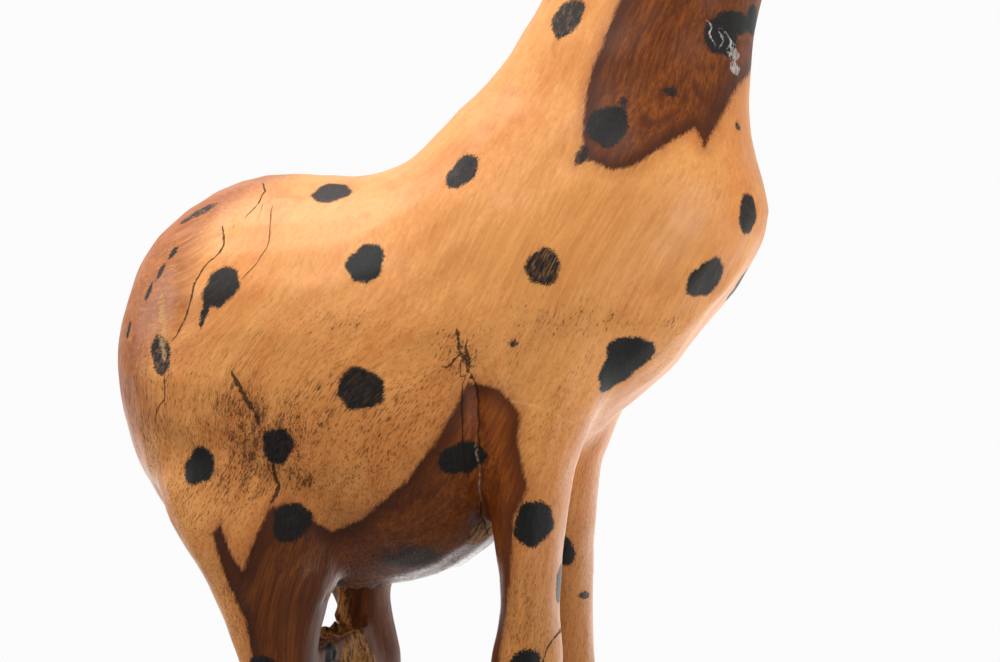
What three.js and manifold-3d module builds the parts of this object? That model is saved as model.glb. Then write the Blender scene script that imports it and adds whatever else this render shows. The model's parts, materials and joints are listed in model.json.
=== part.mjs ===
// Carved giraffe statue for the floor: a body and four legs cut from one heavy log, a long neck and head that
// stand on the body on a wooden dowel, two ears on round pegs, two horns on glued tenons and two inlaid eyes.
// Millimetres, +Z up. The statue stands on Z = 0, faces +X, and its two halves mirror each other across Y = 0.
import * as THREE from "three";
import { mergeVertices } from "three/addons/utils/BufferGeometryUtils.js";
import Module from "manifold-3d";

const wasm = await Module();
wasm.setup();

// ---------------------------------------------------------------- driving dimensions
const CLEARANCE = 0.3; // gap between two fitted faces
const SQUARENESS = 0.93; // 1 gives oval ribs, less gives ribs with fuller shoulders

// A rib is an oval across the form: [first X, first Z, second X, second Z, half width along Y, middle Y].
// The trunk's ribs run from the rump to the top of the neck, the first point on the back and the second below.
const TRUNK_RIBS = [
  [-272, 474, -272, 474, 0, 0],
  [-265, 518, -263, 429, 54, 0],
  [-248, 557, -242, 379, 88, 0],
  [-218, 587, -202, 344, 108, 0],
  [-176, 600, -146, 325, 116, 0],
  [-138, 600, -88, 329, 117, 0],
  [-112, 598, -26, 354, 112, 0],
  [-94, 600, 36, 418, 103, 0],
  [-75, 608, 95, 474, 96, 0],
  [-55, 627, 139, 527, 89, 0],
  [-33, 649, 156, 567, 82, 0],
  [-13, 670, 150, 607, 74, 0],
  [3, 693, 147, 650, 68, 0],
  [18, 722, 150, 686, 64, 0],
  [40, 778, 163, 753, 60, 0],
  [52, 840, 169, 820, 56, 0],
  [71, 950, 168, 936, 50, 0],
  [85, 1112, 167, 1106, 43, 0],
  [93, 1274, 164, 1272, 37, 0],
  [97, 1406, 161, 1405, 33, 0],
  [103, 1470, 159, 1468, 30, 0],
  [131, 1502, 131, 1502, 0, 0],
];
// The legs' ribs run down from inside the trunk to below the floor, where they are sawn off flat.
// The first point is at the front and the second at the rear.
const HIND_LEG_RIBS = [
  [-165, 500, -165, 500, 0, 60],
  [-112, 455, -222, 455, 34, 66],
  [-98, 398, -224, 408, 38, 72],
  [-102, 352, -207, 366, 36, 76],
  [-112, 318, -183, 326, 32, 78],
  [-117, 280, -165, 280, 28, 80],
  [-120, 228, -158, 232, 25, 80],
  [-125, 180, -160, 185, 24, 80],
  [-129, 150, -161, 150, 23, 80],
  [-129, 90, -158, 90, 22, 80],
  [-125, 48, -160, 48, 23, 80],
  [-111, 18, -166, 18, 27, 80],
  [-103, 0, -168, 0, 29, 80],
  [-135, -30, -135, -30, 0, 80],
];
const FORE_LEG_RIBS = [
  [40, 560, 40, 560, 0, 44],
  [82, 512, -4, 500, 32, 46],
  [60, 455, -14, 430, 35, 48],
  [43, 410, -12, 385, 32, 50],
  [37, 365, -6, 355, 29, 51],
  [34, 322, -3, 325, 26, 52],
  [35, 285, -10, 287, 25, 53],
  [36, 262, -13, 262, 25, 54],
  [37, 228, -14, 228, 26, 55],
  [29, 180, -7, 180, 23, 55],
  [26, 130, -4, 130, 22, 55],
  [26, 75, -3, 75, 21, 55],
  [29, 45, -4, 45, 23, 55],
  [44, 18, -8, 18, 27, 55],
  [52, 0, -10, 0, 29, 55],
  [20, -30, 20, -30, 0, 55],
];
// A web of wood is left between the hind legs, to stiffen them.
const LEG_WEB = { rear: -156, front: -124, bottom: 214, top: 292, halfWidth: 70, hollow: 10 };

// The neck stands on the body at a saw cut across its axis.
const NECK_CUT = new THREE.Vector3(110, 0, 826);
const NECK_LEAN = Math.atan2(22, 122); // the axis leans forward from the vertical
const DOWEL = { radius: 15, inBody: 60, inNeck: 50, chamfer: 2 };

// The head is built along its own axis, from the back of the skull to the lips, then pitched nose down.
const HEAD_START = new THREE.Vector3(89, 0, 1510);
const HEAD_PITCH = THREE.MathUtils.degToRad(26);
const HEAD_RIBS = [ // [along the axis, height above it, depth below it, half width]
  [0, 0, 0, 0],
  [10, 29, 32, 24],
  [36, 45, 46, 36],
  [70, 42, 43, 38],
  [106, 28, 38, 31],
  [144, 19, 31, 25],
  [176, 19, 30, 26],
  [196, 13, 22, 20],
  [204, 0, 0, 0],
];
const EYE = { along: 76, height: 11, radius: 7, depth: 9, dome: 3, turn: 0.16, seat: 32 };
const HORN = { along: 42, side: 16, length: 46, radius: 8.5, waist: 6.5, knob: 9, seat: 40, splay: 0.14 };
const HORN_TENON = { radius: 4.5, length: 14 };
const EAR = { along: 26, height: 18, seat: 28, length: 62, width: 13, thickness: 5, collar: 7 };
const EAR_PEG = { radius: 4.5, length: 17 };
const EAR_SWEEP = new THREE.Vector3(-0.32, 1, 0.3).normalize(); // the left peg's axis, in the head's own frame

// ---------------------------------------------------------------- materials
const SAPWOOD = new THREE.MeshStandardMaterial({ color: 0xd4905a, roughness: 0.35, metalness: 0 });
const HEARTWOOD = new THREE.MeshStandardMaterial({ color: 0x6d3b1f, roughness: 0.35, metalness: 0 });
const DARK_HARDWOOD = new THREE.MeshStandardMaterial({ color: 0x2c2826, roughness: 0.25, metalness: 0 });
const BARE_WOOD = new THREE.MeshStandardMaterial({ color: 0xc9a36c, roughness: 0.7, metalness: 0 });

// ---------------------------------------------------------------- solids
/** Turns a closed geometry into a solid. */
function solidOf(geometry) {
  geometry.deleteAttribute("normal");
  geometry.deleteAttribute("uv");
  const merged = mergeVertices(geometry, 1e-4);
  return new wasm.Manifold(new wasm.Mesh({
    numProp: 3,
    vertProperties: new Float32Array(merged.attributes.position.array),
    triVerts: new Uint32Array(merged.index.array),
  }));
}

/** Turns a solid into a named mesh. */
function meshOf(solid, name, material) {
  const { vertProperties, triVerts } = solid.getMesh();
  const geometry = new THREE.BufferGeometry();
  geometry.setAttribute("position", new THREE.BufferAttribute(vertProperties, 3));
  geometry.setIndex(new THREE.BufferAttribute(triVerts, 1));
  geometry.computeVertexNormals();
  const mesh = new THREE.Mesh(geometry, material);
  mesh.name = name;
  return mesh;
}

/** Carries an oval along a row of ribs: a ball whose parallels become the ribs. */
function loft(ribs, around, along) {
  const first = new THREE.CatmullRomCurve3(ribs.map(([x, z, , , , middle]) => new THREE.Vector3(x, middle, z)));
  const second = new THREE.CatmullRomCurve3(ribs.map(([, , x, z, half]) => new THREE.Vector3(x, half, z)));
  const fuller = (value) => Math.sign(value) * Math.abs(value) ** SQUARENESS;
  const ball = new THREE.SphereGeometry(1, around, along);
  const points = ball.attributes.position;
  for (let row = 0; row <= along; row++) {
    const a = first.getPoint(row / along);
    const b = second.getPoint(row / along);
    const middle = new THREE.Vector3((a.x + b.x) / 2, a.y, (a.z + b.z) / 2);
    const reach = new THREE.Vector3((a.x - b.x) / 2, 0, (a.z - b.z) / 2);
    for (let column = 0; column <= around; column++) {
      const angle = (column / around) * 2 * Math.PI;
      const point = middle.clone().addScaledVector(reach, fuller(Math.cos(angle)));
      point.y += Math.max(b.y, 0) * fuller(Math.sin(angle));
      points.setXYZ(row * (around + 1) + column, point.x, point.y, point.z);
    }
  }
  return ball;
}

/** The same ribs on the other side of the statue. */
const mirrored = (ribs) => ribs.map(([ax, az, bx, bz, half, middle]) => [ax, az, bx, bz, half, -middle]);

/** A matrix that takes the Z axis to the given direction and the origin to the given place. */
function placing(direction, place) {
  const turn = new THREE.Quaternion().setFromUnitVectors(new THREE.Vector3(0, 0, 1), direction);
  return new THREE.Matrix4().compose(place, turn, new THREE.Vector3(1, 1, 1));
}

/** A round peg or bore along Z, between two heights, placed by a matrix. */
function round(radius, bottom, top, matrix, sides = 16) {
  const bar = new THREE.CylinderGeometry(radius, radius, top - bottom, sides);
  bar.rotateX(Math.PI / 2).translate(0, 0, (top + bottom) / 2);
  return solidOf(bar.applyMatrix4(matrix));
}

/** A turned form about Z from a profile of [radius, height] points, placed by a matrix. */
function turned(profile, matrix, sides = 16) {
  const form = new THREE.LatheGeometry(profile.map(([r, h]) => new THREE.Vector2(r, h)), sides);
  return solidOf(form.rotateX(Math.PI / 2).applyMatrix4(matrix));
}

/** A large block that holds everything past a plane at the given place, on the side of its direction. */
function beyond(direction, place) {
  const size = 4000;
  const block = new THREE.BoxGeometry(size, size, size).translate(0, 0, size / 2);
  return solidOf(block.applyMatrix4(placing(direction, place)));
}

// ---------------------------------------------------------------- the two carvings before they are joined
const UP = new THREE.Vector3(0, 0, 1);
const neckAxis = new THREE.Vector3(Math.sin(NECK_LEAN), 0, Math.cos(NECK_LEAN));
const neckFrame = placing(neckAxis, NECK_CUT);
const gapAbove = NECK_CUT.clone().addScaledVector(neckAxis, CLEARANCE);
const trunk = solidOf(loft(TRUNK_RIBS, 32, 52));

/** The log between the hind legs, with hollowed front and rear faces. */
function legWeb() {
  const { rear, front, bottom, top, halfWidth, hollow } = LEG_WEB;
  const outline = new THREE.Shape();
  outline.moveTo(rear, bottom);
  outline.quadraticCurveTo((rear + front) / 2, bottom + hollow, front, bottom);
  outline.lineTo(front, top);
  outline.quadraticCurveTo((rear + front) / 2, top - hollow, rear, top);
  const slab = new THREE.ExtrudeGeometry(outline, { depth: 2 * halfWidth, bevelEnabled: false, curveSegments: 6 });
  slab.rotateX(Math.PI / 2).translate(0, halfWidth, 0);
  return solidOf(slab);
}

/** Body, lower neck and legs in one piece, with the bore that takes the dowel. */
function bodyCarving() {
  let body = trunk.subtract(beyond(neckAxis, NECK_CUT));
  for (const ribs of [HIND_LEG_RIBS, FORE_LEG_RIBS]) {
    body = body.add(solidOf(loft(ribs, 16, 24))).add(solidOf(loft(mirrored(ribs), 16, 24)));
  }
  body = body.add(legWeb());
  body = body.subtract(beyond(UP.clone().negate(), new THREE.Vector3()));
  return body.subtract(round(DOWEL.radius + CLEARANCE, -DOWEL.inBody - CLEARANCE, 40, neckFrame));
}

/** The loose dowel of the neck, chamfered at both ends. */
function neckDowel() {
  const { radius, inBody, inNeck, chamfer } = DOWEL;
  return turned([
    [0, -inBody],
    [radius - chamfer, -inBody],
    [radius, -inBody + chamfer],
    [radius, inNeck - chamfer],
    [radius - chamfer, inNeck],
    [0, inNeck],
  ], neckFrame);
}

// ---------------------------------------------------------------- the head and what is set into it
const headFrame = new THREE.Matrix4().makeRotationY(HEAD_PITCH).setPosition(HEAD_START);

/** A matrix for a piece set into the head, by a place and a direction in the head's own frame. */
function onHead(x, y, z, direction) {
  return headFrame.clone().multiply(placing(direction, new THREE.Vector3(x, y, z)));
}

/** Where an eye, a horn and an ear are set on one side: +1 is the left, -1 the right. */
function settings(side) {
  const eyeAxis = new THREE.Vector3(Math.sin(EYE.turn), side * Math.cos(EYE.turn), 0);
  const hornAxis = new THREE.Vector3(-0.1, side * Math.sin(HORN.splay), Math.cos(HORN.splay)).normalize();
  const earAxis = new THREE.Vector3(EAR_SWEEP.x, side * EAR_SWEEP.y, EAR_SWEEP.z);
  return {
    eye: onHead(EYE.along, side * EYE.seat, EYE.height, eyeAxis),
    horn: onHead(HORN.along, side * HORN.side, HORN.seat, hornAxis),
    ear: onHead(EAR.along, side * EAR.seat, EAR.height, earAxis),
  };
}

/** The head's own shape, still in one with nothing. */
function headForm() {
  const ribs = HEAD_RIBS.map(([along, above, below, half]) => [along, above, along, -below, half, 0]);
  return solidOf(loft(ribs, 20, 18).applyMatrix4(headFrame));
}

/** Upper neck and head in one piece, with the bores for the dowel, the pegs, the tenons and the eyes. */
function neckAndHead() {
  const below = beyond(neckAxis.clone().negate(), gapAbove);
  let head = trunk.subtract(below).add(headForm());
  head = head.subtract(round(DOWEL.radius + CLEARANCE, -40, DOWEL.inNeck + CLEARANCE, neckFrame));
  for (const side of [1, -1]) {
    const { eye, horn, ear } = settings(side);
    const pocket = 20; // how far a seat's cutter reaches out past the surface
    head = head.subtract(round(EYE.radius + CLEARANCE, -EYE.depth - CLEARANCE, pocket, eye));
    head = head.subtract(round(HORN_TENON.radius + CLEARANCE, -HORN_TENON.length - CLEARANCE, pocket, horn));
    head = head.subtract(round(HORN.radius + CLEARANCE, 0, pocket, horn));
    head = head.subtract(round(EAR_PEG.radius + CLEARANCE, -EAR_PEG.length - CLEARANCE, pocket, ear));
    head = head.subtract(round(EAR.collar + CLEARANCE, 0, pocket, ear));
  }
  return head;
}

/** An inlaid eye: a plug with a domed face. */
function eyePlug(frame) {
  const { radius, depth, dome } = EYE;
  const face = 3; // the plug's straight wall above its seat
  return turned([
    [0, -depth],
    [radius, -depth],
    [radius, face],
    [radius * 0.8, face + dome * 0.6],
    [radius * 0.45, face + dome * 0.9],
    [0, face + dome],
  ], frame);
}

/** A horn with a waist and a round knob, on its tenon. */
function hornPeg(frame) {
  const { length, radius, waist, knob } = HORN;
  const foot = CLEARANCE; // the horn's foot stands just above its seat
  return turned([
    [0, -HORN_TENON.length],
    [HORN_TENON.radius, -HORN_TENON.length],
    [HORN_TENON.radius, foot],
    [radius, foot],
    [radius, 5],
    [waist, length * 0.55],
    [waist + 1, length * 0.72],
    [knob, length * 0.82],
    [knob, length * 0.91],
    [knob * 0.6, length * 0.98],
    [0, length],
  ], frame);
}

/** A leaf-shaped ear on a round collar and a peg, its blade turned so that it opens forward. */
function earLeaf(frame) {
  const { length, width, thickness, collar } = EAR;
  const blade = [ // [height, half width, half thickness]
    [2, 0, 0],
    [4, 6, 4.5],
    [length * 0.2, width * 0.6, thickness],
    [length * 0.45, width, thickness],
    [length * 0.7, width * 0.82, thickness * 0.8],
    [length * 0.9, width * 0.35, thickness * 0.5],
    [length, 0, 0],
  ];
  const ribs = blade.map(([height, half, thick]) => [-thick, height, thick, height, half, 0]);
  const leaf = solidOf(loft(ribs, 12, 10).applyMatrix4(frame));
  return leaf
    .add(round(collar, CLEARANCE, 7, frame))
    .add(round(EAR_PEG.radius, -EAR_PEG.length, 5, frame));
}

// ---------------------------------------------------------------- the statue
const statue = new THREE.Group();
statue.add(meshOf(bodyCarving(), "body_carving", SAPWOOD));
statue.add(meshOf(neckAndHead(), "neck_and_head", HEARTWOOD));
statue.add(meshOf(neckDowel(), "neck_dowel", BARE_WOOD));
for (const [word, side] of [["left", 1], ["right", -1]]) {
  const { eye, horn, ear } = settings(side);
  statue.add(meshOf(eyePlug(eye), `eye_${word}`, DARK_HARDWOOD));
  statue.add(meshOf(hornPeg(horn), `horn_${word}`, HEARTWOOD));
  statue.add(meshOf(earLeaf(ear), `ear_${word}`, HEARTWOOD));
}

export default statue;
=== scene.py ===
"""Looks of the carved giraffe statue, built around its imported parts.

One log gives the body and legs, and its upper end the neck and head. Each carving is remeshed from its
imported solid, eased where the limbs leave the trunk, and given the crease, cracks, keel, tail, hooves and face
that a carver cuts. The wood is two-toned: pale sapwood, with dark heartwood where the cut goes deep, burnt
black spots and a waxed shine. Lengths inside the classes are millimetres, as on the carver's rule.
"""

import json
import logging
import math
from dataclasses import dataclass, field
from enum import Enum
from typing import Union

import bpy
import numpy as np
from mathutils import Matrix, Vector

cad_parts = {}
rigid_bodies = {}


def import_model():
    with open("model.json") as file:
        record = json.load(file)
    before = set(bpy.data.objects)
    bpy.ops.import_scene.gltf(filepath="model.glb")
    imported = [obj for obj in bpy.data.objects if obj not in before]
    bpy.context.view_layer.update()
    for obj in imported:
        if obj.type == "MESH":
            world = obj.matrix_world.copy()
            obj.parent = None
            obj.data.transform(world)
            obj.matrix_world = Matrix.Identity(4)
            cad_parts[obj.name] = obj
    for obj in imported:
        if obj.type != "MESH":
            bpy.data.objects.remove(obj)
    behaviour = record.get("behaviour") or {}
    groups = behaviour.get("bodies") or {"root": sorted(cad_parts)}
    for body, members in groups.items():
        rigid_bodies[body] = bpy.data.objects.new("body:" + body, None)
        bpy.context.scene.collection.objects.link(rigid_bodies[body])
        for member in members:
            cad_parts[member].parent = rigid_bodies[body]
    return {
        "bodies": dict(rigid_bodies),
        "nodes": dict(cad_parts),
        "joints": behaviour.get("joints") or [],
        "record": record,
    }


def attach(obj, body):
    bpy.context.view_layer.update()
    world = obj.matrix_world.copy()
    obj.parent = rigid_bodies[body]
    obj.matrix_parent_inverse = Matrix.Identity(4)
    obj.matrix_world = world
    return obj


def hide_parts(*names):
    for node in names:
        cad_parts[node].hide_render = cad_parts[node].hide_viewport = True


LOG = logging.getLogger("giraffe")
MM = 0.001
NOT_BURNT = -9.0
Array = np.ndarray
Triple = tuple[float, float, float]
Line = tuple[tuple[float, float], ...]


class Side(Enum):
    """Which half of the statue a mark lies on, as a sign along Y."""

    RIGHT = -1
    LEFT = 1


# ------------------------------------------------------------------------ fields over points
def smoothstep(value: Array, low: float, high: float) -> Array:
    """An S-shaped rise from 0 at low to 1 at high.

    Args:
        value: numbers of any shape.
        low: where the rise starts.
        high: where it ends.

    Returns:
        3t^2 - 2t^3, with t running from 0 to 1 between the two limits.
    """
    t = np.clip((value - low) / (high - low), 0.0, 1.0)
    return t * t * (3.0 - 2.0 * t)


def waves(points: Array, length: float, seed: int, count: int = 14) -> Array:
    """Smooth random hills: the sum of plane waves in random directions.

    Args:
        points: an (n, 3) array.
        length: the mean wavelength.
        seed: which hills.
        count: how many waves are summed.

    Returns:
        About -1 to 1 for each point.
    """
    rng = np.random.default_rng(seed)
    turn = rng.normal(size=(3, count))
    turn /= np.linalg.norm(turn, axis=0)
    pitch = 2.0 * math.pi / (length * rng.uniform(0.7, 1.5, count))
    phase = rng.uniform(0.0, 2.0 * math.pi, count)
    return np.sin(points @ (turn * pitch) + phase).sum(axis=1) * math.sqrt(2.0 / count) * 0.7


def moved(points: Array, matrix: Matrix) -> Array:
    """The points after a matrix, one row each."""
    table = np.array(matrix)
    return points @ table[:3, :3].T + table[:3, 3]


def outline_distance(places: Array, outline: Array) -> Array:
    """Signed distance to a closed outline in a plane, positive inside.

    Args:
        places: an (n, 2) array.
        outline: an (m, 2) array of corners in order.

    Returns:
        The distance to the nearest side, with the sign from the even-odd rule.
    """
    start, end = outline, np.roll(outline, -1, axis=0)
    along = end - start
    offset = places[:, None, :] - start[None]
    share = np.clip((offset * along).sum(2) / (along**2).sum(1), 0.0, 1.0)
    distance = np.linalg.norm(offset - share[..., None] * along, axis=2).min(axis=1)
    above = start[:, 1] > places[:, None, 1]
    crosses = above != (end[:, 1] > places[:, None, 1])
    rise = np.where(np.abs(along[:, 1]) < 1e-9, 1e-9, along[:, 1])
    at = start[:, 0] + (places[:, None, 1] - start[:, 1]) * along[:, 0] / rise
    inside = (crosses & (places[:, None, 0] < at)).sum(axis=1) % 2 == 1
    return np.where(inside, distance, -distance)


def line_distance(places: Array, line: Array) -> tuple[Array, Array, Array]:
    """Distance to an open line of straight stretches.

    Args:
        places: an (n, d) array, with d 2 or 3.
        line: an (m, d) array of points in order.

    Returns:
        The distance to the nearest stretch, the share of the line's length at that place, and the distance
        across the line with a sign that says on which side the place lies, in the first two coordinates.
    """
    start, along = line[:-1], np.diff(line, axis=0)
    lengths = np.linalg.norm(along, axis=1)
    offset = places[:, None, :] - start[None]
    share = np.clip((offset * along).sum(2) / lengths**2, 0.0, 1.0)
    gap = offset - share[..., None] * along
    distance = np.linalg.norm(gap, axis=2)
    nearest = distance.argmin(axis=1)
    row = np.arange(len(places))
    run = np.concatenate([[0.0], np.cumsum(lengths)])
    travelled = (run[nearest] + share[row, nearest] * lengths[nearest]) / run[-1]
    cross = along[nearest, 0] * offset[row, nearest, 1] - along[nearest, 1] * offset[row, nearest, 0]
    return distance[row, nearest], travelled, np.sign(cross) * distance[row, nearest]


# ------------------------------------------------------------------------ the log's own figure
@dataclass(frozen=True)
class LogFigure:
    """How the grain runs through the log: leaning forward through the body and straight up in the neck."""

    heights: tuple[float, ...] = (0, 240, 400, 560, 700, 900, 1100, 1300, 1700)
    lean_degrees: tuple[float, ...] = (1, 3, 24, 27, 21, 11, 5, 1, 0)
    pith_at_floor: float = -141.0
    pith_off_side: float = 9.0
    rump_centre: tuple[float, float] = (-190.0, 520.0)
    rump_reach: float = 110.0
    swirl: float = 26.0

    def shift(self, height: Array) -> Array:
        """How far forward a grain line has moved by a height: the running sum of the tangent of its lean."""
        steps = np.arange(-50.0, 1700.0, 5.0)
        lean = np.tan(np.radians(np.interp(steps, self.heights, self.lean_degrees)))
        return np.interp(height, steps, np.cumsum(lean) * 5.0)

    def fibres(self, points: Array) -> Array:
        """Coordinates that follow the grain: across, sideways and along, with a swirl in the rump."""
        rump = np.hypot(points[:, 0] - self.rump_centre[0], points[:, 2] - self.rump_centre[1])
        swirl = self.swirl * (0.25 + np.exp(-((rump / self.rump_reach) ** 2)))
        across = points[:, 0] - self.shift(points[:, 2]) + swirl * waves(points, 170.0, 3)
        sideways = points[:, 1] + 6.0 * waves(points, 150.0, 4)
        along = points[:, 2] + swirl * waves(points, 150.0, 5)
        return np.column_stack([across, sideways, along])

    def ring(self, points: Array) -> Array:
        """Distance from the pith, which gives the growth rings."""
        across = points[:, 0] - self.shift(points[:, 2]) - self.pith_at_floor
        return np.hypot(across, points[:, 1] - self.pith_off_side) + 5.0 * waves(points, 120.0, 6)


@dataclass(frozen=True)
class Heartwood:
    """Where the dark heartwood comes to the surface, as outlines in side view on each side of the statue."""

    belly_right: Line = (
        (-14, 463), (-22, 447), (-36, 424), (-55, 401), (-85, 377), (-103, 370), (-117, 382),
        (-129, 388), (-137, 385), (-149, 359), (-153, 346), (-160, 355), (-169, 376), (-174, 368),
        (-165, 340), (-153, 315), (-149, 290), (-144, 240), (-147, 180), (-143, 120), (-150, -10),
        (10, -10), (2, 150), (-4, 260), (2, 308), (8, 345), (11, 381), (20, 398), (14, 427), (15, 444),
        (4, 459),
    )
    belly_left: Line = (
        (-34, 430), (-58, 396), (-84, 368), (-106, 356), (-124, 366), (-140, 392), (-152, 398), (-158, 380),
        (-156, 350), (-168, 330), (-160, 290), (-156, 230), (-152, 160), (-156, 80), (-150, -10), (-6, -10),
        (-4, 90), (-2, 200), (-8, 262), (-6, 318), (4, 352), (2, 392), (-10, 424),
    )
    neck_right: Line = (
        (74, 696), (64, 672), (55, 644), (53, 622), (54, 606), (49, 594), (57, 597), (72, 590), (84, 592),
        (103, 606), (119, 617), (124, 604), (131, 621), (143, 650), (190, 690), (230, 900), (230, 1400),
        (300, 1400), (300, 1470), (232, 1492), (196, 1482), (140, 1438), (124, 1400), (130, 1330),
        (112, 1150), (116, 1060), (108, 980), (118, 900), (96, 762),
    )
    neck_left: Line = (
        (92, 724), (84, 690), (96, 660), (108, 668), (120, 640), (132, 650), (150, 690), (200, 760),
        (230, 900), (230, 1400), (300, 1400), (300, 1476), (224, 1490), (176, 1470), (146, 1450), (138, 1400),
        (128, 1300), (134, 1210), (122, 1120), (128, 1020), (118, 940), (124, 860), (110, 790),
    )
    meeting: float = 22.0

    def depth(self, points: Array) -> Array:
        """Distance inside the heartwood's border, in millimetres, blended across the statue's middle."""
        flat = points[:, [0, 2]]
        outlines = (self.belly_right, self.neck_right, self.belly_left, self.neck_left)
        distances = [outline_distance(flat, np.array(outline, float)) for outline in outlines]
        right, left = np.maximum(*distances[:2]), np.maximum(*distances[2:])
        share = smoothstep(points[:, 1], -self.meeting, self.meeting)
        return right * (1.0 - share) + left * share


# ------------------------------------------------------------------------ marks on the surface
@dataclass(frozen=True)
class Spot:
    """A burnt mark: an uneven oval on the surface around a place, with half its width and half its height."""

    x: float
    y: float
    z: float
    across: float
    up: float
    tilt: float = 0.0
    wear: float = 0.0


RIGHT_SPOTS = (
    Spot(39, -58, 687, 11.2, 13.6, 12, 0.14),
    Spot(133, -43, 677, 13.2, 14.0, 0, 0.05),
    Spot(141, -31, 684, 14.0, 7.0),
    Spot(150, -12, 689, 13.0, 9.0),
    Spot(69, -78, 619, 12.2, 13.4, 0, 0.05),
    Spot(-22, -80, 591, 9.6, 12.2, 22, 0.04),
    Spot(-115, -59, 582, 12.0, 14.0, 8, 0.06),
    Spot(-77, -100, 536, 12.2, 12.8, 0, 0.0),
    Spot(31, -94, 531, 10.4, 11.2, -20, 0.3),
    Spot(-170, -106, 521, 12.0, 13.6, 25, 0.03),
    Spot(-178, -110, 508, 2.2, 8.0, 8, 0.0),
    Spot(-181, -111, 500, 1.3, 7.0, 6, 0.0),
    Spot(-210, -107, 480, 7.4, 13.4, -12, 0.3),
    Spot(147, -35, 565, 8.6, 13.4, -6, 0.04),
    Spot(124, -44, 527, 13.8, 14.2, 20, 0.03),
    Spot(77, -56, 480, 17.5, 12.5, 20, 0.0),
    Spot(69, -57, 472, 13.5, 14.5, 30, 0.0),
    Spot(65, -56, 463, 7.0, 10.0, 26, 0.0),
    Spot(-77, -113, 458, 13.9, 13.4, 20, 0.05),
    Spot(-129, -113, 425, 9.6, 12.6, 16, 0.04),
    Spot(-183, -107, 409, 9.8, 13.0, 24, 0.0),
    Spot(-20, -86, 416, 15.6, 11.0, 0, 0.0),
    Spot(-125, -105, 378, 12.6, 11.6, -30, 0.06),
    Spot(24, -79, 377, 13.4, 13.8, 0, 0.0),
    Spot(37, -50, 337, 9.0, 12.6, 0, 0.1),
    Spot(16, -77, 287, 10.6, 12.0),
    Spot(-141, -108, 285, 10.0, 9.5),
    Spot(-124, 40, 246, 16.0, 9.0),
    Spot(-124, -34, 266, 13.0, 24.0),
    Spot(21, 18, 346, 8.0, 9.5),
    Spot(31, 39, 316, 8.0, 2.2, 6, 0.3),
    Spot(-203, -62, 572, 15.0, 5.0, -42, 0.65),
    Spot(-212, -86, 544, 2.6, 5.6, 10, 0.1),
    Spot(-219, -90, 533, 2.2, 6.5, 14, 0.15),
    Spot(-227, -91, 519, 1.9, 7.5, 12, 0.1),
    Spot(-239, -88, 494, 1.6, 6.5, 6, 0.0),
    Spot(52, -84, 600, 3.2, 7.0, 26, 0.4),
    Spot(142, -33, 621, 2.6, 2.8, 0, 0.3),
    Spot(13, -94, 486, 3.2, 2.4, 0, 0.3),
    Spot(79, -74, 633, 2.6, 2.8, 0, 0.4),
    Spot(106, -65, 640, 4.4, 3.4, 0, 0.7),
)


@dataclass(frozen=True)
class Crack:
    """A drying crack in side view: points (x, z), half its width, how deep it is cut, and its tone.

    Two cracks close together run in opposite ways, so that the signed distance agrees between them.
    """

    points: Line
    half: float = 0.5
    depth: float = 0.0
    pale: float = 0.0
    side: Side = Side.RIGHT


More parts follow.
